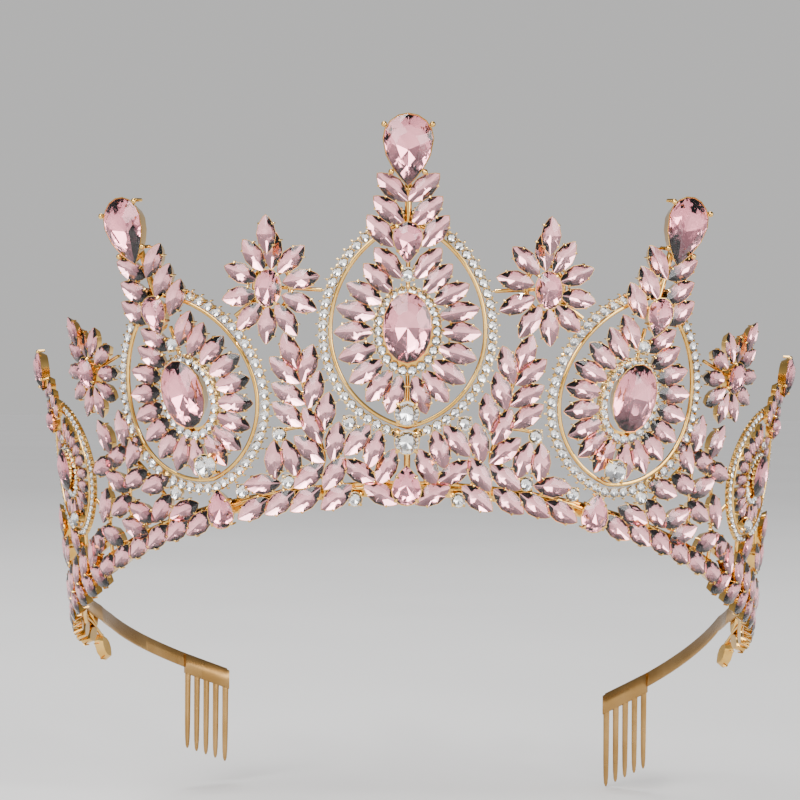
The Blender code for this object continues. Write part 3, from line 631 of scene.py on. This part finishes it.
def templates():
    """Each cut of stone: its mesh, the mesh of its setting and what it is made of."""
    corners = (45, 135, 225, 315)
    leaf_claws = [(sx * 2.3, sy * 1.6, 90 * sy - 14 * sx * sy) for sx in (1, -1) for sy in (1, -1)]
    rows = [
        # cut, what it is made of, outline; stone: heights of foot, girdle and table, share of the table;
        # cup: share and height of the foot, height of the girdle, wall; claws with thickness, reach and sides
        ("leaf", "stones", leaf_outline(8.4, 4.4), (1.5, 1.95, 2.5, 0.36),
         (0.72, 0.0, 1.95, 0.08), (leaf_claws, 0.42, 0.3, 5)),
        ("rim", "clear_stones", oval_outline(2.1, 2.1, 8), (1.05, 1.4, 2.0, 0.55),
         (0.72, 0.0, 1.35, 0.07), (claws_on_oval(2.6, 2.6, (-90, -30, -150)), 0.42, 0.2, 4)),
        ("bead", "clear_stones", oval_outline(3.0, 3.0, 16), (1.3, 1.75, 2.6, 0.55),
         (0.7, 0.0, 1.75, 0.1), (claws_on_oval(3.1, 3.1, corners), 0.5, 0.3, 5)),
        ("round", "clear_stones", oval_outline(5.0, 5.0, 16), (3.1, 3.9, 5.1, 0.56),
         (0.5, 0.9, 3.9, 0.16), (claws_on_oval(5.1, 5.1, corners), 0.7, 0.6, 5)),
        ("oval", "large_stones", oval_outline(10.0, 14.5, 16), (2.3, 3.9, 5.3, 0.5),
         (0.75, 0.0, 3.9, 0.14), ()),
        ("blossom", "large_stones", oval_outline(6.0, 8.2, 16), (2.5, 3.4, 4.8, 0.56),
         (0.75, 0.0, 3.4, 0.16), (claws_on_oval(6.1, 8.1, (50, 130, 230, 310)), 0.6, 0.5, 5)),
        ("drop", "large_stones", pear_outline(6.0, 8.3), (4.0, 4.9, 6.1, 0.54),
         (0.72, 2.0, 4.9, 0.16), (DROP_CLAWS, 0.6, 0.5, 5)),
        ("pear", "large_stones", pear_outline(10.0, 14.4), (4.2, 5.6, 7.1, 0.48),
         (0.76, 2.5, 5.6, 0.2), ()),
    ]
    cuts = {}
    for cut, make, outline, stone_size, cup_size, claws in rows:
        stone = cut_stone(cut + " stone", outline, *stone_size)
        metalwork = setting(outline, *cup_size, *claws)
        if cut == "pear":
            add_ball_claws(metalwork)
        cuts[cut] = (stone, kept(metalwork, cut + " setting"), make)
    return cuts


# Geometry Nodes trees

PIECE_INPUTS = [
    ("Piece", "NodeSocketObject"), ("Finish", "NodeSocketMaterial"), ("Finish below", "NodeSocketMaterial"),
]


def geometry_tree(name, inputs):
    """An empty geometry tree with named inputs; returns it, its input node and its output node."""
    tree = bpy.data.node_groups.new(name, "GeometryNodeTree")
    tree.interface.new_socket("Geometry", in_out="INPUT", socket_type="NodeSocketGeometry")
    for label, kind in inputs:
        tree.interface.new_socket(label, in_out="INPUT", socket_type=kind)
    tree.interface.new_socket("Geometry", in_out="OUTPUT", socket_type="NodeSocketGeometry")
    return tree, tree.nodes.new("NodeGroupInput"), tree.nodes.new("NodeGroupOutput")


def set_pieces(tree, given, result, points, rotation, size):
    """Sets the piece on every point and marks its points with their seat.

    The piece gets its finish, and its foiled faces the finish below.
    """
    place = node(tree, "GeometryNodeInputPosition", {})
    marked = node(tree, "GeometryNodeStoreNamedAttribute", {
        "Geometry": points, "Name": "seat", "Value": place}, data_type="FLOAT_VECTOR", domain="POINT")
    piece = node(tree, "GeometryNodeObjectInfo", {"Object": given.outputs["Piece"]})
    instances = node(tree, "GeometryNodeInstanceOnPoints", {
        "Points": marked, "Instance": piece.outputs["Geometry"], "Rotation": rotation, "Scale": size})
    real = node(tree, "GeometryNodeRealizeInstances", {"Geometry": instances})
    above = node(tree, "GeometryNodeSetMaterial", {"Geometry": real, "Material": given.outputs["Finish"]})
    foil = node(tree, "GeometryNodeInputNamedAttribute", {"Name": "foil"}, data_type="BOOLEAN")
    below = node(tree, "GeometryNodeSetMaterial", {
        "Geometry": above, "Selection": foil, "Material": given.outputs["Finish below"]})
    tree.links.new(below.outputs[0], result.inputs[0])


def seats_tree():
    """Sets a piece on every point, turned in the wall by the point's turn and scaled by its size."""
    tree, given, result = geometry_tree("set on seats", PIECE_INPUTS)
    turn = node(tree, "GeometryNodeInputNamedAttribute", {"Name": "turn"}, data_type="FLOAT")
    size = node(tree, "GeometryNodeInputNamedAttribute", {"Name": "size"}, data_type="FLOAT")
    turned = node(tree, "ShaderNodeCombineXYZ", {"Z": turn})
    set_pieces(tree, given, result, given.outputs["Geometry"], turned, size)
    return tree


def row_tree():
    """Sets a row of pieces along a closed wire at an even pitch, each facing along the wire."""
    tree, given, result = geometry_tree(
        "row along a wire", PIECE_INPUTS + [("Pitch", "NodeSocketFloat"), ("Size", "NodeSocketFloat")])
    wire = node(tree, "GeometryNodeMeshToCurve", {"Mesh": given.outputs["Geometry"]})
    length = node(tree, "GeometryNodeCurveLength", {"Curve": wire})
    many = node(tree, "ShaderNodeMath", {0: length, 1: given.outputs["Pitch"]}, operation="DIVIDE")
    whole = node(tree, "ShaderNodeMath", {0: many}, operation="ROUND")
    even = node(tree, "GeometryNodeResampleCurve", {"Curve": wire, "Count": whole})
    way = node(tree, "GeometryNodeInputTangent", {})
    turned = node(tree, "FunctionNodeAlignRotationToVector", {"Vector": way}, axis="X", pivot_axis="Z")
    set_pieces(tree, given, result, even, turned, given.outputs["Size"])
    return tree


def wire_tree():
    """Draws a round wire along lines of points, smooth through each point."""
    tree, given, result = geometry_tree(
        "drawn wire", [("Radius", "NodeSocketFloat"), ("Finish", "NodeSocketMaterial")])
    line = node(tree, "GeometryNodeMeshToCurve", {"Mesh": given.outputs["Geometry"]})
    eased = node(tree, "GeometryNodeCurveSplineType", {"Curve": line}, spline_type="CATMULL_ROM")
    fine = node(tree, "GeometryNodeSetSplineResolution", {"Geometry": eased, "Resolution": 4})
    section = node(tree, "GeometryNodeCurvePrimitiveCircle", {
        "Resolution": 8, "Radius": given.outputs["Radius"]})
    drawn = node(tree, "GeometryNodeCurveToMesh", {
        "Curve": fine, "Profile Curve": section, "Fill Caps": True})
    finished = node(tree, "GeometryNodeSetMaterial", {
        "Geometry": drawn, "Material": given.outputs["Finish"]})
    tree.links.new(finished.outputs[0], result.inputs[0])
    return tree


SEATS = seats_tree()
ROW = row_tree()
WIRE = wire_tree()


def new_object(name, data):
    """An object with that data, in the scene."""
    made = bpy.data.objects.new(name, data)
    bpy.context.scene.collection.objects.link(made)
    return made


def template_object(mesh):
    """A hidden object for a template mesh; it is removed again before the end."""
    made = new_object(mesh.name, mesh)
    made.hide_render = True
    return made


CUTS = {cut: (template_object(stone), template_object(metalwork), make)
        for cut, (stone, metalwork, make) in templates().items()}
WORK = {}


def grown(source, tree, values):
    """The mesh that a tree makes of a source mesh with its named inputs set."""
    holder = new_object("source", source)
    modifier = holder.modifiers.new("growth", "NODES")
    modifier.node_group = tree
    for item in tree.interface.items_tree:
        if item.in_out == "INPUT" and item.name in values:
            modifier[item.identifier] = values[item.name]
    mesh = bpy.data.meshes.new_from_object(holder.evaluated_get(bpy.context.evaluated_depsgraph_get()))
    bpy.data.objects.remove(holder)
    bpy.data.meshes.remove(source)
    finishes = [values["Finish"], values.get("Finish below")]
    order = [finishes.index(material) if material else 0 for material in mesh.materials]
    for face in mesh.polygons:
        face.material_index = order[face.material_index]
    return mesh


def wrapped(mesh, lift=wall_lift):
    """Bends a flat mesh round the head; pieces with a seat stay rigid."""
    count = len(mesh.vertices)
    points = np.empty(count * 3)
    mesh.vertices.foreach_get("co", points)
    points = points.reshape(-1, 3)
    marks = mesh.attributes.get("seat")
    if marks:
        seats = np.empty(count * 3, dtype=np.float32)
        marks.data.foreach_get("vector", seats)
        points = stood(points, seats.reshape(-1, 3).astype(float))
    else:
        points = bent(points, lift)
    mesh.vertices.foreach_set("co", points.ravel())
    return mesh


def add_work(node_name, make, mesh):
    """Keeps a wrapped mesh as part of the piece of that node and make."""
    WORK.setdefault((node_name, make), []).append(mesh)


def finished_pieces(cut):
    """The makes of a cut's stone and of its setting, each with its piece and its finishes."""
    stone, metalwork, stone_make = CUTS[cut]
    rows = []
    for piece, make in ((stone, stone_make), (metalwork, "settings")):
        finishes = MAKES[make][0]
        rows.append((make, {"Piece": piece, "Finish": finishes[0], "Finish below": finishes[-1]}))
    return rows


def set_stones(node_name, cut, places):
    """Stones of one cut with their settings, at places of x, y, turn, out and size."""
    for make, piece in finished_pieces(cut):
        source = bpy.data.meshes.new("seats")
        source.from_pydata([(x, y, out) for x, y, turn, out, size in places], [], [])
        for label, column in (("turn", 2), ("size", 4)):
            values = source.attributes.new(label, "FLOAT", "POINT")
            values.data.foreach_set("value", [place[column] for place in places])
        add_work(node_name, make, wrapped(grown(source, SEATS, piece)))


def line_mesh(lines, closed=False):
    """A mesh of lines through points."""
    source = bpy.data.meshes.new("lines")
    points, edges = [], []
    for line in lines:
        first = len(points)
        points += line
        edges += [(first + i, first + i + 1) for i in range(len(line) - 1)]
        if closed:
            edges.append((len(points) - 1, first))
    source.from_pydata(points, edges, [])
    return source


def set_row(node_name, cut, line, pitch, size):
    """A closed row of stones with their settings along a line."""
    for make, piece in finished_pieces(cut):
        mesh = grown(line_mesh([line], True), ROW, {**piece, "Pitch": pitch, "Size": size})
        add_work(node_name, make, wrapped(mesh))


def draw_wires(node_name, lines, radius, closed=False):
    """Round gold wires along lines."""
    mesh = grown(line_mesh(lines, closed), WIRE, {"Radius": radius, "Finish": GOLD})
    mesh.shade_smooth()
    add_work(node_name, "settings", wrapped(mesh))


def smooth(mesh, crease):
    """Shades a mesh smooth but for edges sharper than an angle."""
    mesh.shade_smooth()
    mesh.set_sharp_from_angle(angle=radians(crease))


# Places

def placed(along, up, lean=0.0, size=1.0):
    """The frame of a motif on the unrolled wall; a positive lean tips its top to the right."""
    return (Matrix.Translation((along, up, 0.0)) @ Matrix.Rotation(-radians(lean), 4, "Z")
            @ Matrix.Scale(size, 4))


def mirrored(side):
    """The frame of the whole layout, mirrored to the left for the side -1."""
    return Matrix.Diagonal((side, 1.0, 1.0, 1.0))


def seat(where, x, y, turn=0.0, out=0.0):
    """A seat of x, y, turn, out and size for a place inside a motif's frame; turn is in radians."""
    at = where @ Vector((x, y, out))
    way = where.to_3x3() @ Vector((cos(turn), sin(turn), 0.0))
    return (at.x, at.y, atan2(way.y, way.x), at.z, way.length)


def points_in(where, points, out):
    """Points inside a motif's frame at a height."""
    return [tuple(where @ Vector((x, y, out))) for x, y in points]


def both_sides(where, places, out=0.0):
    """Seats at places on the right of a motif's axis and their mirror images on the left."""
    seats = []
    for x, y, turn in places:
        seats.append(seat(where, x, y, turn, out))
        seats.append(seat(where, -x, y, pi - turn, out))
    return seats


def hoop_path(depth, outward):
    """The hoop's wire: four arcs, pointed at the top and at the bottom, moved outward by a distance."""
    high_centre = HOOP_HALF_WIDTH - HOOP_UPPER_RADIUS
    fall = depth + HOOP_MIDDLE
    low_radius = (HOOP_HALF_WIDTH ** 2 + fall ** 2) / (2 * HOOP_HALF_WIDTH)
    low_centre = HOOP_HALF_WIDTH - low_radius
    high, low = HOOP_UPPER_RADIUS + outward, low_radius + outward
    top = pi - atan2((high ** 2 - high_centre ** 2) ** 0.5, high_centre)
    bottom = atan2((low ** 2 - low_centre ** 2) ** 0.5, low_centre) - pi
    half = []
    for i in range(HOOP_STEPS):
        angle = bottom * (1 - i / HOOP_STEPS)
        half.append((low_centre + low * cos(angle), HOOP_MIDDLE + low * sin(angle)))
    for i in range(HOOP_STEPS + 1):
        angle = top * i / HOOP_STEPS
        half.append((high_centre + high * cos(angle), HOOP_MIDDLE + high * sin(angle)))
    return half + [(-x, y) for x, y in reversed(half[1:-1])]


def way_out(wide, high, angle):
    """The way out of an oval with those half axes at an angle of its outline."""
    return atan2(sin(angle) / high, cos(angle) / wide)


def in_radians(rows):
    """Rows of places with their lean in radians."""
    return [(x, y, radians(lean)) for x, y, lean in rows]


def petal_places(depth):
    """Middle and lean of each petal on the right half of a medallion whose hoop is that deep."""
    places = in_radians([FIRST_PETAL])
    for i in range(PETALS_A_SIDE):
        angle = radians(PETAL_FIRST - PETAL_STEP * i)
        wide, high = PETAL_AXES
        if angle <= 0:
            high = depth / 2 + PETAL_BELOW
        drawn = 1 - PETAL_DRAWN_IN * (max(angle, 0.0) / radians(PETAL_FIRST)) ** 2
        places.append((wide * cos(angle) * drawn, high * sin(angle), way_out(wide, high, angle)))
    return places


# The crown's pieces

def halo_outline(axes):
    """Points round an oval of the halo, from its half axes."""
    return [(x, y - HALO_DOWN) for x, y in oval_outline(2 * axes[0], 2 * axes[1], HALO_SIDES)]


def halo_plate(where):
    """The gold plate under the halo's stones, open under the oval."""
    inner, outer = HALO_PLATE
    shape = bmesh.new()
    loops = []
    for axes, out in ((inner, 0.0), (outer, 0.0), (outer, HALO_PLATE_TOP), (inner, HALO_PLATE_TOP)):
        loops.append([shape.verts.new(point) for point in points_in(where, halo_outline(axes), out)])
    for low, high in zip(loops, loops[1:] + loops[:1]):
        bridge(shape, low, high)
    return kept(shape, "halo plate")


def make_motif(name, along, up, lean, size, depth):
    """One ringed medallion with its spire and its separate stones."""
    where = placed(along, up, lean, size)
    hoop = "hoop_" + name
    rim_path = hoop_path(depth, RIM_ROW_OUTWARD)
    draw_wires(hoop, [points_in(where, hoop_path(depth, 0.0), HOOP_WIRE_OUT)], HOOP_WIRE * size, True)
    draw_wires(hoop, [points_in(where, rim_path, HOOP_RAIL)], HOOP_RAIL * size, True)
    set_row(hoop, "rim", points_in(where, rim_path, RIM_RAISED), RIM_PITCH * size, size)

    petals = "petals_" + name
    set_stones(petals, "leaf", both_sides(where, petal_places(depth)))
    set_row(petals, "rim", points_in(where, halo_outline(HALO_ROW), HALO_RAISED), HALO_PITCH * size, size)
    add_work(petals, "settings", wrapped(halo_plate(where)))
    set_stones(petals, "bead", [seat(where, 0.0, HALO_BEAD_UP, 0.0, HALO_BEAD_RAISED)])
    keel = (KEEL_FROM, (KEEL_FROM - depth) / 2, KEEL_SHORT_OF_TIP - depth)
    lines = [points_in(where, [(0.0, height) for height in stem], STEM_WIRE) for stem in (keel, NECK)]
    draw_wires(petals, lines, STEM_WIRE * size)

    set_stones("oval_" + name, "oval", [seat(where, 0.0, 0.0)])
    set_stones("round_" + name, "round", [seat(where, 0.0, ROUND_ABOVE_TIP - depth)])

    spire = "spire_" + name
    set_stones(spire, "leaf", both_sides(where, in_radians(SPIRE_LEAVES), SPIRE_RAISED))
    spine = [(0.0, height) for height in SPINE]
    draw_wires(spire, [points_in(where, spine, SPINE_OUT)], SPINE_WIRE * size)
    set_stones("spire_stone_" + name, "drop", [seat(where, 0.0, DROP_UP)])
    set_stones("top_pear_" + name, "pear", [seat(where, 0.0, TOP_PEAR_UP)])


def make_flower(name, along, up, lean, size, side):
    """A flower head of ten petals and one taller petal round an oval stone, on stems to its neighbours."""
    where = mirrored(side) @ placed(along, up, lean, size)
    label = name + ("_right" if side > 0 else "_left")
    wide, high = FLOWER_AXES
    seats = []
    for i in range(FLOWER_PETALS):
        turn = 2 * pi * (i + 0.5) / FLOWER_PETALS
        seats.append(seat(where, wide * cos(turn), high * sin(turn), way_out(wide, high, turn)))
    seats.append(seat(where, CREST[0], CREST[1], radians(CREST[2]), CREST_RAISED))
    flower = "flower_" + label
    set_stones(flower, "leaf", seats)
    collar = oval_outline(*FLOWER_COLLAR, COLLAR_SIDES)
    draw_wires(flower, [points_in(where, collar, STEM_WIRE)], STEM_WIRE * size, True)
    links = [[(0.0, 0.0), (x / 2, y / 2), (x, y)] for x, y in FLOWER_LINKS]
    draw_wires(flower, [points_in(where, link, STEM_WIRE) for link in links], STEM_WIRE * size)
    set_stones("flower_stone_" + label, "blossom", [seat(where, 0.0, 0.0)])


def vine_leaves(points, pairs, spread):
    """Rows for leaves in pairs along a line of points, their outer tips towards the line's start."""
    rows = []
    runs = [hypot(b[0] - a[0], b[1] - a[1]) for a, b in zip(points, points[1:])]
    for k in range(pairs):
        far = TAIL_FIRST_PAIR + TAIL_PAIR_STEP * k
        i = 0
        while far > runs[i]:
            far -= runs[i]
            i += 1
        (x0, y0), (x1, y1) = points[i], points[i + 1]
        x = x0 + (x1 - x0) * far / runs[i]
        y = y0 + (y1 - y0) * far / runs[i]
        for hand in (1, -1):
            turn = atan2(y0 - y1, x0 - x1) + hand * spread
            rows.append((x + LEAF_OFF_VINE * cos(turn), y + LEAF_OFF_VINE * sin(turn), turn))
    return rows


def make_leaf_field(node_name, sides, leaves, bead_rows, stems):
    """One field of leaves, beads and stems, on one side or on both."""
    leaf_seats, bead_seats, lines = [], [], []
    for side in sides:
        where = mirrored(side)
        leaf_seats += [seat(where, x, y, turn) for x, y, turn in leaves]
        bead_seats += [seat(where, x, y) for x, y in bead_rows]
        lines += [points_in(where, line, STEM_WIRE) for line in stems]
    set_stones(node_name, "leaf", leaf_seats)
    if bead_seats:
        set_stones(node_name, "bead", bead_seats)
    draw_wires(node_name, lines, STEM_WIRE)


def make_leaf_work():
    """The leaf work between and beyond the medallions, and the pears on the lower edge."""
    make_leaf_field("leaves_centre", (1, -1), in_radians(CENTRE_LEAVES), CENTRE_BEADS, CENTRE_STEMS)
    up, out, size = CENTRE_LARGE_BEAD
    set_stones("leaves_centre", "bead", [(0.0, up, 0.0, out, size)])
    draw_wires("leaves_centre", [points_in(mirrored(1), CENTRE_POST, STEM_WIRE)], CENTRE_POST_WIRE)
    tail = in_radians(TAIL_LEAVES) + vine_leaves(TAIL_VINE, TAIL_PAIRS, radians(TAIL_SPREAD))
    for side, hand in ((1, "right"), (-1, "left")):
        make_leaf_field("spray_" + hand, (side,), in_radians(SPRAY_LEAVES), SPRAY_BEADS, SPRAY_STEMS)
        make_leaf_field("leaves_side_" + hand, (side,), in_radians(SIDE_LEAVES), SIDE_BEADS, SIDE_STEMS)
        make_leaf_field("leaves_tail_" + hand, (side,), tail, [], TAIL_STEMS + [TAIL_VINE])
    for name, along, up, lean in BASE_PEARS:
        where = placed(along, up, lean) @ Matrix.Rotation(pi, 4, "Z")
        set_stones("base_pear_" + name, "drop", [seat(where, 0.0, 0.0, 0.0, BASE_PEAR_OUT)])


def rounded_section(low, high, back, front, corner):
    """Eight points round a strip's section with its corners taken off, as up and out."""
    return [(low + corner, front), (high - corner, front), (high, front - corner), (high, back + corner),
            (high - corner, back), (low + corner, back), (low, back + corner), (low, front - corner)]


def strip(start, end, steps, height, section):
    """A closed strip along the wall; its section is given round its middle height."""
    rings = []
    for i in range(steps + 1):
        along = start + (end - start) * i / steps
        rings.append([Vector((along, height(along) + up, out)) for up, out in section])
    shape = bmesh.new()
    lofted(shape, rings)
    return shape


def make_base_band():
    """The band of metal along the lower edge, behind the leaf work."""
    shape = strip(-RAIL_REACH, RAIL_REACH, RAIL_STEPS, edge_height, rounded_section(*RAIL_SECTION))
    mesh = wrapped(kept(shape, "base band"))
    smooth(mesh, STRIP_CREASE)
    add_work("base_band", "settings", mesh)


def make_comb(side, hand):
    """A headband end with its comb: five teeth below a plate."""
    half = BAND_WIDTH / 2
    plate_half = COMB_PLATE_HEIGHT / 2
    band = strip(side * BAND_START, side * (COMB_END - BAND_SHORT_OF_PLATE), BAND_STEPS, band_height,
                 rounded_section(-half, half, 0.0, BAND_THICKNESS, BAND_CORNER))

    def plate_height(along):
        """Height of the plate's middle."""
        return band_height(along) + half - COMB_PLATE_DROP - plate_half

    plate_section = rounded_section(
        -plate_half, plate_half, -COMB_PLATE_HALF, COMB_PLATE_HALF, COMB_PLATE_CORNER)
    plate = strip(side * COMB_START, side * COMB_END, COMB_PLATE_STEPS, plate_height, plate_section)
    teeth = bmesh.new()
    for i in range(TEETH):
        between = (COMB_END - COMB_START - TOOTH_WIDTH) * i / (TEETH - 1)
        along = side * (COMB_START + TOOTH_WIDTH / 2 + between)
        top = band_height(along) + half - COMB_PLATE_HEIGHT
        rings = []
        for drop, wide, thick in TOOTH_PROFILE:
            around = oval_outline(wide, thick, TOOTH_SIDES)
            rings.append([Vector((along + x, top - drop, out)) for x, out in around])
        lofted(teeth, rings)
    for shape, name in ((band, "strip"), (plate, "plate"), (teeth, "teeth")):
        mesh = wrapped(kept(shape, name), headband_lift)
        smooth(mesh, STRIP_CREASE)
        add_work("comb_" + hand, "strip", mesh)


def make_crown():
    """Every piece of the crown."""
    for motif in MOTIFS:
        make_motif(*motif)
    for flower in FLOWERS:
        for side in (1, -1):
            make_flower(*flower, side)
    make_leaf_work()
    make_base_band()
    make_comb(1, "right")
    make_comb(-1, "left")


def finish_pieces():
    """Joins what was kept into one piece for each node and make."""
    for (node_name, make), meshes in WORK.items():
        materials, slot = MAKES[make]
        whole = bmesh.new()
        for mesh in meshes:
            whole.from_mesh(mesh)
            bpy.data.meshes.remove(mesh)
        name = node_name + "_" + make
        mesh = bpy.data.meshes.new(name)
        for material in materials:
            mesh.materials.append(material)
        whole.to_mesh(mesh)
        whole.free()
        if make == "settings":
            smooth(mesh, SETTING_CREASE)
        for label in ("seat", "turn", "size", "foil"):
            spare = mesh.attributes.get(label)
            if spare:
                mesh.attributes.remove(spare)
        piece = new_object(name, mesh)
        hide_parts(node_name)
        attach(piece, "root")
    for stone, metalwork, make in CUTS.values():
        bpy.data.objects.remove(stone)
        bpy.data.objects.remove(metalwork)


# The stage

FLOOR_RADIUS = 12.0
FLOOR_SIDES = 64
FLOOR_BELOW = 0.0002
WINDOW_TURN = (38, -22)
WINDOW_SPREAD = 30
WINDOW_POWER = 1.6
LAMPS = [
    # name, place in m, height it is aimed at, size, power
    ("key", (-0.45, -0.75, 0.50), 0.0, 0.60, 9.0),
    ("fill", (0.70, -0.60, 0.15), 0.0, 0.45, 5.0),
    ("top", (-0.15, 0.45, 1.10), 0.0, 0.5, 8.0),
    ("spark", (0.22, -0.62, 0.42), 0.02, 0.05, 2.0),
]
# The room from level with the crown to overhead, how much of it stones and metal show, and the backdrop
ROOM_GREYS = [(0.0, 1.0), (0.65, 0.38)]
ROOM_BLUE = 1.02
ROOM_IN_SHINE = (0.62, 0.62, 0.63, 1.0)
BACKDROP = (0.60, 0.595, 0.59, 1.0)
# The camera's place in m, its turn and roll in radians, and its lens in mm
CAMERA_PLACE = (0.01063, -0.510, 0.0209)
CAMERA_TURN = -0.0269
CAMERA_ROLL = 0.0088
CAMERA_LENS = 99.1
CAMERA_SENSOR = 36.0


def make_floor():
    """A pale floor under the combs."""
    mesh = bpy.data.meshes.new("floor")
    shape = bmesh.new()
    bmesh.ops.create_circle(shape, cap_ends=True, segments=FLOOR_SIDES, radius=FLOOR_RADIUS)
    shape.to_mesh(mesh)
    shape.free()
    paint = finish_material(
        "pale floor", (0.80, 0.79, 0.78), (0.77, 0.76, 0.75), patch_size=3.0, shine=0.55, dull=0.65,
        smudge_size=8.0)[0]
    mesh.materials.append(paint)
    floor = new_object("floor", mesh)
    floor.location.z = CAD_BOX[0].z - FLOOR_BELOW


def make_lamps():
    """A broad soft window light, and square soft lamps aimed at the crown."""
    sun = bpy.data.lights.new("window", "SUN")
    sun.energy = WINDOW_POWER
    sun.angle = radians(WINDOW_SPREAD)
    window = new_object("window", sun)
    window.rotation_euler = (*map(radians, WINDOW_TURN), 0.0)
    for name, place, target, size, power in LAMPS:
        lamp = bpy.data.lights.new(name, "AREA")
        lamp.size = size
        lamp.energy = power
        made = new_object(name, lamp)
        made.location = place
        aim = Vector((0.0, 0.0, target)) - Vector(place)
        made.rotation_euler = aim.to_track_quat("-Z", "Y").to_euler()


def make_room():
    """A pale room round the crown. Stones and metal show it dimmed, so that their facets stand out."""
    world = bpy.data.worlds.new("studio")
    bpy.context.scene.world = world
    world.use_nodes = True
    tree = world.node_tree
    place = node(tree, "ShaderNodeTexCoord", {})
    height = node(tree, "ShaderNodeSeparateXYZ", {"Vector": place.outputs["Generated"]})
    shade = node(tree, "ShaderNodeValToRGB", {"Fac": height.outputs["Z"]})
    for element, (position, grey) in zip(shade.color_ramp.elements, ROOM_GREYS):
        element.position = position
        element.color = (grey, grey, grey * ROOM_BLUE, 1.0)
    path = node(tree, "ShaderNodeLightPath", {})
    shiny = node(tree, "ShaderNodeMath", {
        0: path.outputs["Is Glossy Ray"], 1: path.outputs["Is Transmission Ray"]}, operation="MAXIMUM")
    dimmed = node(tree, "ShaderNodeMix", {
        "Factor": shiny, MIX_FIRST: shade, MIX_SECOND: ROOM_IN_SHINE},
        data_type="RGBA", blend_type="MULTIPLY")
    seen = node(tree, "ShaderNodeMix", {
        "Factor": path.outputs["Is Camera Ray"], MIX_FIRST: dimmed.outputs[MIXED], MIX_SECOND: BACKDROP},
        data_type="RGBA")
    tree.links.new(seen.outputs[MIXED], tree.nodes["Background"].inputs["Color"])


def make_camera():
    """The camera in front of the crown, level, with a slight turn and roll."""
    lens = bpy.data.cameras.new("camera")
    lens.lens = CAMERA_LENS
    lens.sensor_width = CAMERA_SENSOR
    camera = new_object("camera", lens)
    ahead = Vector((sin(CAMERA_TURN), cos(CAMERA_TURN), 0.0))
    upright = Vector((0.0, 0.0, 1.0))
    right = ahead.cross(upright)
    look = Matrix((right, upright, -ahead)).transposed().to_4x4()
    camera.matrix_world = Matrix.Translation(CAMERA_PLACE) @ look @ Matrix.Rotation(CAMERA_ROLL, 4, "Z")
    bpy.context.scene.camera = camera


make_crown()
finish_pieces()
make_floor()
make_lamps()
make_room()
make_camera()
